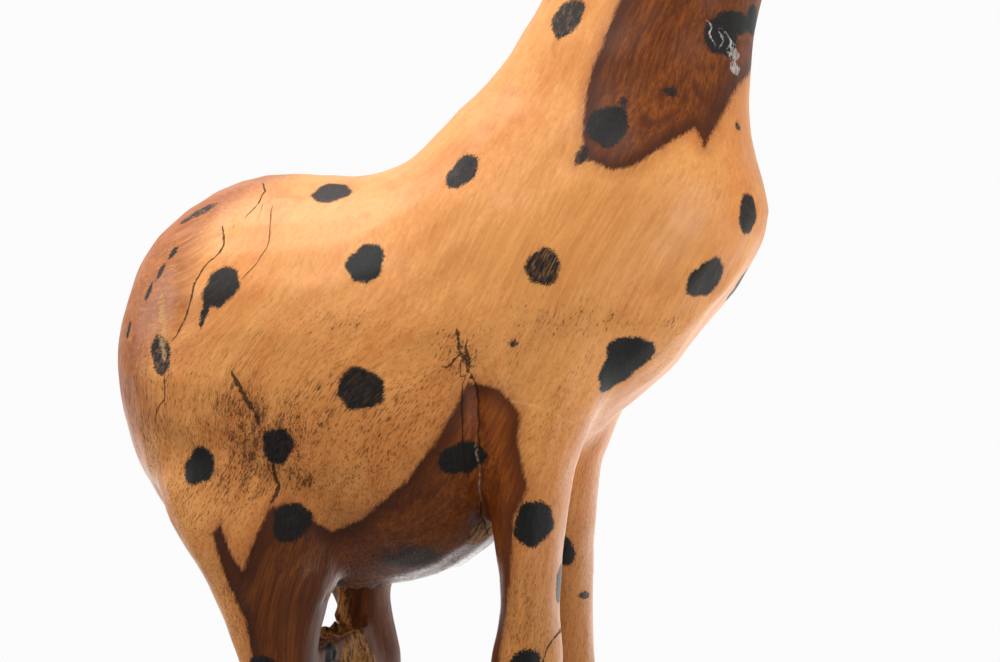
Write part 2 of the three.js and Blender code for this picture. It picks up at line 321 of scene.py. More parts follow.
CRACKS = (
    Crack(((-179, 561), (-175, 548), (-176, 543), (-185, 533), (-189, 522), (-191, 510), (-196, 495),
           (-202, 487)), 0.42, 0.4),
    Crack(((-206, 467), (-207, 451), (-213, 445), (-216, 438)), 0.28),
    Crack(((-166, 591), (-159, 584), (-160, 576), (-165, 566)), 0.3),
    Crack(((-149, 574), (-144, 555), (-143, 546), (-147, 536), (-157, 525)), 0.14),
    Crack(((-158, 469), (-151, 456), (-144, 446), (-140, 436)), 1.2, 0.8),
    Crack(((-134, 413), (-133, 404), (-132, 398), (-136, 388)), 1.1, 0.8),
    Crack(((-20, 495), (-18, 484), (-14, 472), (-12, 464)), 0.8, 0.8),
    Crack(((-13, 474), (-14, 488)), 0.5, 0.4),
    Crack(((-19, 478), (-24, 472), (-27, 472)), 0.5, 0.3),
    Crack(((-12, 470), (-9, 457), (-10, 431), (-14, 397), (-18, 373), (-19, 362)), 0.38, 3.0),
    Crack(((-19, 402), (-18, 440), (-17, 462)), 0.28, 0.5),
    Crack(((37, 322), (33, 306), (27, 293), (20, 262), (18, 240)), 0.32, 0.3),
    Crack(((-69, 539), (-48, 533), (-30, 525)), 0.16, 0.0, 0.5),
    Crack(((9, 452), (30, 447), (51, 436)), 0.8, 0.0, 0.39),
    Crack(((-214, 518), (-210, 498), (-208, 476)), 2.6, 0.0, 0.5),
    Crack(((140, 668), (139, 661), (141, 653)), 2.0, 0.0, 0.8),
    Crack(((125, 683), (128, 679), (126, 675), (129, 670)), 0.3, 0.0, 1.0),
    Crack(((132, 668), (134, 673), (132, 677)), 0.3, 0.0, 1.0),
    Crack(((135, 678), (138, 673), (136, 667)), 0.3, 0.0, 1.0),
    Crack(((-13, 424), (-12, 410), (-15, 388)), 0.3, 0.0, 0.9),
    Crack(((-168, 566), (-176, 548), (-170, 530), (-180, 508), (-176, 486)), 0.7, 0.5, 0.0, Side.LEFT),
    Crack(((-96, 520), (-100, 498), (-92, 470), (-98, 452)), 0.5, 0.3, 0.0, Side.LEFT),
    Crack(((-10, 470), (-8, 440), (-12, 400), (-18, 366)), 0.6, 3.0, 0.0, Side.LEFT),
    Crack(((96, 700), (104, 740), (112, 800), (112, 815)), 0.5, 0.3, 0.0, Side.LEFT),
    Crack(((112, 900), (118, 960), (116, 1030), (124, 1090)), 0.5, 0.4),
    Crack(((130, 1180), (128, 1240), (134, 1310)), 0.4, 0.3),
    Crack(((118, 1010), (126, 1080), (122, 1160), (130, 1220)), 0.5, 0.4, 0.0, Side.LEFT),
    Crack(((-140, 250), (-136, 210), (-142, 160), (-140, 120)), 0.5, 0.3),
    Crack(((-142, 200), (-138, 140), (-142, 80)), 0.5, 0.3, 0.0, Side.LEFT),
)


@dataclass(frozen=True)
class Patch:
    """A stained or pitted place in side view: its centre, its half sizes and how strong it is."""

    x: float
    z: float
    across: float
    up: float
    strength: float = 1.0


GRIME = (
    Patch(-150, 446, 36, 32, 0.85),
    Patch(-130, 416, 28, 30, 0.8),
    Patch(-94, 456, 18, 24, 0.75),
    Patch(-22, 478, 26, 26, 0.7),
    Patch(42, 500, 34, 14, 0.65),
    Patch(92, 500, 26, 12, 0.45),
    Patch(-120, 404, 34, 10, 0.5),
    Patch(-172, 400, 34, 34, 0.6),
    Patch(-95, 500, 36, 12, 0.6),
    Patch(12, 330, 16, 50, 0.45),
    Patch(-60, 430, 22, 18, 0.5),
)


@dataclass(frozen=True)
class Torn:
    """A place where the wood was torn, not cut: its centre and its reach along each axis."""

    x: float
    y: float
    z: float
    reach: Triple
    strength: float = 1.0

    def mask(self, points: Array) -> Array:
        """A bell around the centre, of the given strength."""
        offset = (points - (self.x, self.y, self.z)) / self.reach
        return self.strength * np.exp(-(offset**2).sum(axis=1))


TORN = (
    Torn(-144, 30, 304, (10, 20, 36), 1.6),
    Torn(-128, 14, 258, (24, 30, 30), 1.5),
    Torn(-140, 20, 226, (20, 40, 18), 0.9),
    Torn(-124, -66, 327, (22, 20, 7), 1.0),
    Torn(-21, -38, 364, (10, 13, 9), 1.5),
)


@dataclass(frozen=True)
class Stroke:
    """A last stroke of rasp or gouge in side view: where, how far, how much, and which way it faces."""

    x: float
    z: float
    across: float
    up: float
    height: float
    facing: tuple[float, float]

    def height_at(self, points: Array, normals: Array) -> Array:
        """The height left by the stroke: a bell in side view, on the faces that face its way."""
        reach = ((points[:, 0] - self.x) / self.across) ** 2 + ((points[:, 2] - self.z) / self.up) ** 2
        bell = np.exp(-reach)
        way = np.array(self.facing) / math.hypot(*self.facing)
        return self.height * bell * np.clip(normals[:, [0, 2]] @ way, 0.0, 1.0)


BODY_STROKES = (
    Stroke(-204, 392, 30, 40, 6.0, (-1.0, -0.5)),
    Stroke(-66, 345, 44, 26, 6.5, (0.1, -1.0)),
    Stroke(-110, 342, 26, 22, 2.5, (0.0, -1.0)),
    Stroke(154, 556, 26, 24, 2.6, (1.0, -0.4)),
    Stroke(152, 636, 30, 42, -2.4, (1.0, 0.1)),
    Stroke(92, 466, 34, 26, 3.6, (0.8, -0.7)),
    Stroke(42, 660, 50, 50, -2.4, (-1.0, 0.6)),
    Stroke(-206, 575, 46, 34, -2.0, (-0.8, 0.8)),
    Stroke(44, 366, 22, 44, -2.0, (1.0, 0.0)),
    Stroke(-104, 285, 16, 44, -5.5, (1.0, 0.0)),
    Stroke(-130, 288, 22, 12, -4.5, (0.0, 1.0)),
)


# ------------------------------------------------------------------------ a carved surface
@dataclass
class Skin:
    """A carved surface as arrays: points in millimetres, its faces and its edges."""

    points: Array
    faces: Array
    edges: Array

    @classmethod
    def of_node(cls, node: bpy.types.Object, voxel: float) -> "Skin":
        """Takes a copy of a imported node's mesh, merges it and remeshes it into even quads.

        Args:
            node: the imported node, which is left as it is.
            voxel: the size of a quad, in millimetres.

        Returns:
            The new surface.
        """
        mesh = node.data.copy()
        work = bpy.data.objects.new("work", mesh)
        bpy.context.scene.collection.objects.link(work)
        weld = work.modifiers.new("weld", "WELD")
        weld.merge_threshold = 1e-5
        remesh = work.modifiers.new("remesh", "REMESH")
        remesh.mode = "VOXEL"
        remesh.voxel_size = voxel * MM
        evaluated = work.evaluated_get(bpy.context.evaluated_depsgraph_get())
        fine = bpy.data.meshes.new_from_object(evaluated)
        points = np.empty(len(fine.vertices) * 3, np.float32)
        fine.vertices.foreach_get("co", points)
        faces = np.empty(len(fine.loops), np.int32)
        fine.loops.foreach_get("vertex_index", faces)
        edges = np.empty(len(fine.edges) * 2, np.int32)
        fine.edges.foreach_get("vertices", edges)
        bpy.data.objects.remove(work)
        bpy.data.meshes.remove(fine)
        bpy.data.meshes.remove(mesh)
        return cls(points.reshape(-1, 3).astype(float) / MM, faces.reshape(-1, 4), edges.reshape(-1, 2))

    def normals(self) -> Array:
        """Unit normals: the mean of the crossed diagonals of the quads around each point."""
        corner = self.points[self.faces]
        cross = np.cross(corner[:, 2] - corner[:, 0], corner[:, 3] - corner[:, 1])
        total = np.zeros_like(self.points)
        for k in range(4):
            for axis in range(3):
                total[:, axis] += np.bincount(self.faces[:, k], cross[:, axis], len(self.points))
        return total / np.maximum(np.linalg.norm(total, axis=1, keepdims=True), 1e-12)

    def neighbour_mean(self, values: Array) -> Array:
        """The mean of a vector over the points that share an edge with each point."""
        a, b = self.edges[:, 0], self.edges[:, 1]
        count = len(self.points)
        degree = np.bincount(a, minlength=count) + np.bincount(b, minlength=count)
        total = np.column_stack([
            np.bincount(a, values[b, axis], count) + np.bincount(b, values[a, axis], count)
            for axis in range(3)
        ])
        return total / np.maximum(degree, 1)[:, None]

    def relax(self, rounds: int, weight: Array) -> None:
        """Evens the surface without shrinking it: each round is a step in and a slightly longer step out."""
        for _ in range(rounds):
            for step in (0.6, -0.62):
                pull = self.neighbour_mean(self.points) - self.points
                self.points = self.points + step * weight[:, None] * pull

    def fill_hollows(self, rounds: int, weight: Array) -> None:
        """Lays a fillet in creases: only the outward part of each smoothing step is kept."""
        for _ in range(rounds):
            pull = self.neighbour_mean(self.points) - self.points
            normal = self.normals()
            outward = (pull * normal).sum(axis=1)
            slide = pull - outward[:, None] * normal
            move = 0.6 * np.maximum(outward, 0.0)[:, None] * normal + 0.4 * slide
            self.points = self.points + weight[:, None] * move

    def push(self, amount: Array) -> None:
        """Moves each point along its normal."""
        self.points = self.points + amount[:, None] * self.normals()

    def to_object(self, name: str, fields: dict[str, Array]) -> bpy.types.Object:
        """Makes the Blender object, in metres, with its fields as attributes.

        Args:
            name: the piece's name.
            fields: one value or one vector for each point.

        Returns:
            The object, at the origin, smooth shaded.
        """
        mesh = bpy.data.meshes.new(name)
        mesh.vertices.add(len(self.points))
        mesh.vertices.foreach_set("co", (self.points * MM).astype(np.float32).ravel())
        mesh.loops.add(self.faces.size)
        mesh.loops.foreach_set("vertex_index", self.faces.astype(np.int32).ravel())
        mesh.polygons.add(len(self.faces))
        mesh.polygons.foreach_set("loop_start", np.arange(len(self.faces), dtype=np.int32) * 4)
        mesh.polygons.foreach_set("use_smooth", np.ones(len(self.faces), bool))
        mesh.update(calc_edges=True)
        mesh.validate()
        for word, values in fields.items():
            kind, key = ("FLOAT_VECTOR", "vector") if values.ndim == 2 else ("FLOAT", "value")
            mesh.attributes.new(word, kind, "POINT").data.foreach_set(key, values.astype(np.float32).ravel())
        piece = bpy.data.objects.new(name, mesh)
        bpy.context.scene.collection.objects.link(piece)
        return piece


@dataclass
class WoodMarks:
    """Everything that colours a carving: its figure, heartwood, spots, cracks and stains."""

    figure: LogFigure = field(default_factory=LogFigure)
    heart: Heartwood = field(default_factory=Heartwood)
    spots: list[Spot] = field(default_factory=list)
    far: float = 60.0

    def spot_depth(self, skin: Skin) -> tuple[Array, Array]:
        """Distance inside the nearest burnt spot, and how worn that spot is.

        Each spot is an oval laid on the surface: its radius in a direction is that of an ellipse with a few
        gentle waves, and the distance from its middle is taken straight, as a tape over a round form
        nearly is.
        """
        normals = skin.normals()
        depth = np.full(len(skin.points), -self.far)
        wear = np.zeros(len(skin.points))
        for index, spot in enumerate(self.spots):
            middle = np.array([spot.x, spot.y, spot.z])
            at = ((skin.points - middle) ** 2).sum(axis=1).argmin()
            if np.linalg.norm(skin.points[at] - middle) > 25.0:
                continue
            normal = normals[at]
            side = np.cross([0.0, 0.0, 1.0], normal)
            side /= np.linalg.norm(side)
            rise = np.cross(normal, side)
            offset = skin.points - skin.points[at]
            near = np.flatnonzero((offset**2).sum(axis=1) < 42.0**2)
            offset = offset[near]
            angle = np.arctan2(offset @ rise, offset @ side) + math.radians(spot.tilt)
            rng = np.random.default_rng(100 + index)
            wobble = 1.0 + sum(
                size * np.cos(k * angle + phase)
                for k, size, phase in zip((2, 3, 5, 8), (0.05, 0.06, 0.04, 0.025), rng.uniform(0, 6.3, 4))
            )
            radius = wobble / np.hypot(np.cos(angle) / spot.across, np.sin(angle) / spot.up)
            inside = radius - np.linalg.norm(offset, axis=1)
            better = inside > depth[near]
            depth[near[better]] = inside[better]
            wear[near[better]] = spot.wear
        return depth, wear

    def crack_fields(self, skin: Skin) -> tuple[Array, Array, Array, Array]:
        """The nearest crack at each point.

        Returns:
            The signed distance across it, its half width (0 away from it and past its ends), how pale it is,
            and how deep the surface is cut there.
        """
        count = len(skin.points)
        across, half, pale, cut = np.full(count, 9.0), np.zeros(count), np.zeros(count), np.zeros(count)
        best = np.full(count, 1e9)
        flat = skin.points[:, [0, 2]]
        shaken = np.column_stack([waves(skin.points, 16.0, 41), waves(skin.points, 14.0, 42)])
        ragged = flat + 0.5 * shaken
        for crack in CRACKS:
            distance, share, signed = line_distance(ragged, np.array(crack.points, float))
            mine = (distance < best) & (skin.points[:, 1] * crack.side.value > 8.0) & (distance < 14.0)
            taper = smoothstep(share, 0.0, 0.12) * (1.0 - smoothstep(share, 0.86, 1.0))
            end = smoothstep(share, 0.0, 0.004) * (1.0 - smoothstep(share, 0.996, 1.0))
            best[mine], across[mine] = distance[mine], signed[mine]
            fade = 1.0 - smoothstep(distance, 5.0, 9.0)
            half[mine] = (crack.half * (0.35 + 0.65 * taper) * end * fade)[mine]
            pale[mine] = crack.pale
            groove = crack.depth * taper * np.exp(-((distance / 3.4) ** 2))
            cut[mine] = np.maximum(cut[mine], groove[mine])
        return across, half, pale, cut

    def fields(self, skin: Skin) -> dict[str, Array]:
        """Every attribute that the wood's material reads, for one carving."""
        points = skin.points
        spot, wear = self.spot_depth(skin)
        crack_across, crack_half, crack_pale, _ = self.crack_fields(skin)
        grime = np.zeros(len(points))
        for patch in GRIME:
            across, up = (points[:, 0] - patch.x) / patch.across, (points[:, 2] - patch.z) / patch.up
            grime += patch.strength * np.exp(-(across**2) - up**2)
        return self.zones(points) | {
            "fibre": self.figure.fibres(points),
            "ring": self.figure.ring(points),
            "heart": self.heart.depth(points),
            "spot": spot,
            "spot_wear": wear,
            "crack_across": crack_across,
            "crack_half": crack_half,
            "crack_pale": crack_pale,
            "grime": np.clip(grime, 0.0, 1.3),
            "torn": np.clip(sum(patch.mask(points) for patch in TORN), 0.0, 1.2),
        }

    def zones(self, points: Array) -> dict[str, Array]:
        """The broad changes of tone over the statue, each from 0 to 1.

        Returns:
            ruddy at the back of the rump, pitted on the low flank and legs, painted shade below the flank,
            russet on the forelegs' heartwood, polish and tarry under the belly, and painted shade with a duller
            finish on the hind legs.
        """
        x, _, z = points.T
        pitted = (1.0 - smoothstep(z, 430.0, 540.0)) * smoothstep(z, 60.0, 160.0)
        edge = -206.0 + 14.0 * waves(points, 90.0, 8) + 0.75 * np.maximum(z - 528.0, 0.0)
        ruddy = (1.0 - smoothstep(x, edge - 16.0, edge + 18.0)) * smoothstep(z, 400.0, 470.0)
        tar_middle, tar_reach = (-62.0, -52.0, 352.0), (24.0, 44.0, 12.0)
        return {
            "ruddy": ruddy * (1.0 - smoothstep(z, 610.0, 670.0)),
            "pitted": pitted * (1.0 - smoothstep(x, -40, 40) * 0.5),
            # painted shade: the sapwood below the flank is darkened where shade falls
            "dusky": (1.0 - smoothstep(z, 340.0, 430.0)) * smoothstep(x, -200.0, -120.0),
            "russet": smoothstep(x, -26.0, -8.0) * (1.0 - smoothstep(z, 440.0, 500.0)),
            "polish": np.exp(-(((x + 62.0) / 56.0) ** 2) - ((z - 340.0) / 20.0) ** 2),
            "tarry": np.exp(-(((points - tar_middle) / tar_reach) ** 2).sum(axis=1)),
            # painted shade on the hind legs, which also makes their finish duller
            "smoky": (1.0 - smoothstep(z, 372.0, 400.0)) * (1.0 - smoothstep(x, -110.0, -70.0)),
        }


# ------------------------------------------------------------------------ places on the head
@dataclass(frozen=True)
class HeadFrame:
    """The head's own axes: along to the lips, the left side, and up from the crown, pitched nose down."""

    start: Triple = (89.0, 0.0, 1510.0)
    pitch: float = math.radians(26.0)
    eye: Triple = (76.0, 32.0, 11.0)
    eye_turn: float = 0.16
    horn: Triple = (42.0, 16.0, 40.0)
    horn_splay: float = 0.14
    ear: Triple = (26.0, 28.0, 18.0)
    ear_sweep: Triple = (-0.32, 1.0, 0.3)

    def matrix(self) -> Matrix:
        """From the head's own axes to the statue's."""
        return Matrix.Translation(self.start) @ Matrix.Rotation(self.pitch, 4, "Y")

    def own(self, points: Array) -> Array:
        """The points in the head's own axes."""
        return moved(points, self.matrix().inverted())

    def peg(self, place: Triple, axis: Triple, side: Side) -> Matrix:
        """The frame of a piece set into the head: its Z runs out along the axis.

        Args:
            place: where its seat is, on the left side, in the head's axes.
            axis: the way it points, on the left side.
            side: which side it is for.

        Returns:
            From the piece's own axes to the statue's.
        """
        aim = Vector((axis[0], axis[1] * side.value, axis[2])).normalized()
        turn = Vector((0.0, 0.0, 1.0)).rotation_difference(aim).to_matrix().to_4x4()
        return self.matrix() @ Matrix.Translation((place[0], place[1] * side.value, place[2])) @ turn

    def eye_frame(self, side: Side) -> Matrix:
        """Where an eye is inlaid."""
        return self.peg(self.eye, (math.sin(self.eye_turn), math.cos(self.eye_turn), 0.0), side)

    def horn_frame(self, side: Side) -> Matrix:
        """Where a horn stands."""
        return self.peg(self.horn, (-0.1, math.sin(self.horn_splay), math.cos(self.horn_splay)), side)

    def ear_frame(self, side: Side) -> Matrix:
        """Where an ear is pushed in."""
        return self.peg(self.ear, self.ear_sweep, side)


@dataclass(frozen=True)
class NeckJoint:
    """The sawn joint in the neck and the round bore for its dowel."""

    place: Triple = (110.0, 0.0, 826.0)
    lean: float = math.atan2(22.0, 122.0)
    radius: float = 15.0
    play: float = 0.3
    in_body: float = 60.0
    in_neck: float = 50.0

    def matrix(self) -> Matrix:
        """The frame of the joint: its Z runs up the neck."""
        return Matrix.Translation(self.place) @ Matrix.Rotation(self.lean, 4, "Y")

    def own(self, points: Array) -> Array:
        """The points in the joint's own axes."""
        return moved(points, self.matrix().inverted())


def true_bore(skin: Skin, frame: Matrix, radius: float, bottom: float, top: float, voxel: float) -> None:
    """Makes a remeshed bore round again: points near its wall are moved onto the wall.

    Args:
        skin: the surface, which is changed.
        frame: the bore's frame, with Z along its axis.
        radius: the bore's radius.
        bottom: its floor, along Z.
        top: where it comes out, along Z.
        voxel: the size of the surface's quads.
    """
    own = moved(skin.points, frame.inverted())
    reach = np.hypot(own[:, 0], own[:, 1])
    facing = skin.normals() @ np.array(frame)[:3, :3]
    inward = (facing[:, :2] * own[:, :2]).sum(axis=1) < -0.6 * reach
    wall = (np.abs(reach - radius) < 0.9 * voxel) & (own[:, 2] > bottom) & (own[:, 2] < top) & inward
    own[wall, :2] *= (radius / np.maximum(reach[wall], 1e-6))[:, None]
    skin.points = moved(own, frame)


def true_saw_cut(skin: Skin, joint: NeckJoint, sawn: Array, way: float, level: float) -> None:
    """Lays the face of a saw cut flat again.

    Args:
        skin: the surface, which is changed.
        joint: the joint whose axis the cut crosses.
        sawn: which points may lie on the cut.
        way: 1 where the face looks up the neck, -1 where it looks down.
        level: where the face lies along the joint's axis.
    """
    own = joint.own(skin.points)
    facing = way * (skin.normals() @ np.array(joint.matrix())[:3, 2])
    own[sawn & (facing > 0.93), 2] = level
    skin.points = moved(own, joint.matrix())


# ------------------------------------------------------------------------ the two carvings
@dataclass
class BodyCarving:
    """Body, lower neck and legs, cut from one log."""

    node: str = "body_carving"
    voxel: float = 3.05
    joint: NeckJoint = field(default_factory=NeckJoint)
    hand_length: float = 78.0
    hand_depth: float = 0.75
    keel: tuple[Triple, ...] = (
        (152, -6, 590), (146, -10, 560), (139, -16, 538), (130, -24, 518), (114, -32, 497), (96, -40, 478),
    )
    tail_top: float = 535.0
    tail_tuft: float = 380.0
    tail_end: float = 322.0
    hoof: float = 27.0

    def build(self, marks: WoodMarks, finish: "CarvedLogFinish") -> bpy.types.Object:
        """Remeshes the solid, carves its details and gives it its wood.

        Args:
            marks: the colours of the wood over the surface.
            finish: the material.

        Returns:
            The piece, riding on its body.
        """
        skin = Skin.of_node(frame["nodes"][self.node], self.voxel)
        sole = skin.points[:, 2] < 0.4 * self.voxel
        sawn = self.joint.own(skin.points)[:, 2] > -0.4 * self.voxel
        self.soften(skin)
        self.carve(skin, marks)
        skin.points[:, 2] = np.where(sole, 0.0, np.maximum(skin.points[:, 2], 0.0))
        true_saw_cut(skin, self.joint, sawn, 1.0, 0.0)
        bore = self.joint.radius + self.joint.play
        true_bore(skin, self.joint.matrix(), bore, -self.joint.in_body, 2.0, self.voxel)
        piece = skin.to_object("body_and_legs", marks.fields(skin) | self.hoof_fields(skin))
        piece.data.materials.append(finish.material())
        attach(piece, "body")
        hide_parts(self.node)
        return piece

    def soften(self, skin: Skin) -> None:
        """Eases the surface, and lays fillets where the limbs leave the trunk and in the web's corners."""
        skin.relax(5, np.ones(len(skin.points)))
        self.lean_left_hind_leg(skin)
        x, _, z = skin.points.T
        junction = smoothstep(z, 290.0, 330.0) * (1.0 - smoothstep(z, 470.0, 520.0))
        skin.fill_hollows(26, junction)
        web = smoothstep(z, 190.0, 210.0) * (1.0 - smoothstep(z, 300.0, 330.0)) * (x < -60.0)
        skin.fill_hollows(10, web)
        away = 1.0 - smoothstep(np.abs(self.joint.own(skin.points)[:, 2]), 0.0, 1.0)
        skin.relax(8, 1.0 - 0.6 * away)

    def lean_left_hind_leg(self, skin: Skin) -> None:
        """Leans the left hind leg forward below the web's top, and tears a hollow into its rear inner corner.

        The hollow's floor is a plane that runs back and outwards: no point of the leg stays behind it.
        """
        x, y, z = skin.points.T
        leg = smoothstep(y, 14.0, 34.0) * (1.0 - smoothstep(x, -90.0, -60.0))
        forward = np.interp(z, (0, 60, 200, 262, 305, 340), (0, 1, 7, 7, -4, 0))
        x = x + leg * forward
        height = smoothstep(z, 268.0, 284.0) * (1.0 - smoothstep(z, 306.0, 322.0))
        floor = -149.0 - 0.35 * (y - 50.0) + 2.0 * waves(skin.points, 17.0, 31)
        behind = np.where((y > 12.0) & (x < floor), floor - x, 0.0)
        skin.points[:, 0] = x + height * leg * behind

    def carve(self, skin: Skin, marks: WoodMarks) -> None:
        """Cuts the details, each as a push along the normals by a field over the surface."""
        normals = skin.normals()
        skin.push(sum(stroke.height_at(skin.points, normals) for stroke in BODY_STROKES))
        points = skin.points
        _, _, _, cut = marks.crack_fields(skin)
        joint = self.joint.own(points)[:, 2]
        free = smoothstep(-joint, 2.0, 14.0) * smoothstep(points[:, 2], 1.0, 12.0)
        amount = self.hand_depth * waves(points, self.hand_length, 1) + 0.25 * waves(points, 26.0, 2)
        amount += self.keel_height(points) + self.tail_height(skin) + self.web_roughness(points)
        splintered = np.clip(sum(patch.mask(points) for patch in TORN[:4]), 0.0, 1.0)
        amount += 1.3 * splintered * waves(points * (1.0, 1.0, 0.35), 9.0, 33)
        skin.push(free * (amount - cut) - self.hoof_cleft(skin))

    def keel_height(self, points: Array) -> Array:
        """The ridge down the breast where flank and front meet: a soft rise around a line in space."""
        rise = np.zeros(len(points))
        for side in Side:
            line = np.array(self.keel, float) * (1.0, -side.value, 1.0)
            distance, share, _ = line_distance(points, line)
            ends = smoothstep(share, 0.0, 0.3) * (1.0 - smoothstep(share, 0.8, 1.0))
            rise = np.maximum(rise, 2.2 * ends * np.exp(-((distance / 9.0) ** 2)))
        return rise

    def tail_height(self, skin: Skin) -> Array:
        """The tail in low relief down the back of the rump: a strip that widens to a tuft of strands."""
        y, z = skin.points.T[1:]
        span = (z > self.tail_end - 5.0) & (z < self.tail_top + 5.0) & (skin.normals()[:, 0] < -0.3)
        tuft = 1.0 - smoothstep(z, self.tail_tuft - 12.0, self.tail_tuft + 14.0)
        close = smoothstep(z, self.tail_end, self.tail_end + 30.0)
        close *= 1.0 - smoothstep(z, 500.0, self.tail_top)
        half = 4.8 + 3.6 * tuft
        middle = 2.0 + 2.0 * np.sin(z / 38.0)
        strip = smoothstep(half * (0.35 + 0.65 * close) - np.abs(y - middle), -1.8, 2.2)
        strands = 0.5 * tuft * np.cos((y - middle) * 1.9 + z / 30.0)
        return np.where(span, strip * close**0.5 * (2.8 + strands), 0.0)

    def web_roughness(self, points: Array) -> Array:
        """Chisel marks left on the web between the hind legs and on the legs' inner faces."""
        x, y, z = points.T
        inner = (1.0 - smoothstep(np.abs(y), 34.0, 52.0)) * (x < -90.0)
        height = smoothstep(z, 175.0, 215.0) * (1.0 - smoothstep(z, 318.0, 345.0))
        steps = np.abs(waves(points * (1.0, 1.0, 0.6), 13.0, 11)) + 0.5 * waves(points, 7.0, 12)
        return inner * height * (1.6 * steps - 0.8)

    def hoof_cleft(self, skin: Skin) -> Array:
        """The cut that splits each hoof in front, and the shallow ring above it."""
        x, y, z = skin.points.T
        normal = skin.normals()
        cleft = np.zeros(len(x))
        low = z < self.hoof
        for front in (True, False):
            for side in Side:
                leg = ((x > -60.0) == front) & (y * side.value > 0.0)
                middle = y[leg & low].mean()
                gap = np.exp(-(((y - middle) / 2.4) ** 2)) * smoothstep(normal[:, 0], 0.0, 0.5)
                cleft += np.where(leg, 2.4 * gap * (1.0 - smoothstep(z, 16.0, self.hoof)), 0.0)
        ring = np.exp(-(((z - self.hoof - 3.0 * normal[:, 0]) / 2.6) ** 2))
        return cleft + np.where(z < 60.0, 0.9 * ring, 0.0)

    def hoof_fields(self, skin: Skin) -> dict[str, Array]:
        """The burnt hooves, added to the burnt spots, and the bare wood of the joint."""
        inside = np.minimum(self.joint.own(skin.points)[:, 2] + 1.2, 3.0)
        hooves = self.hoof - skin.points[:, 2] + 2.0 * waves(skin.points, 30.0, 21)
        return {"hoof": np.clip(hooves, -60.0, 30.0), "bare": inside}


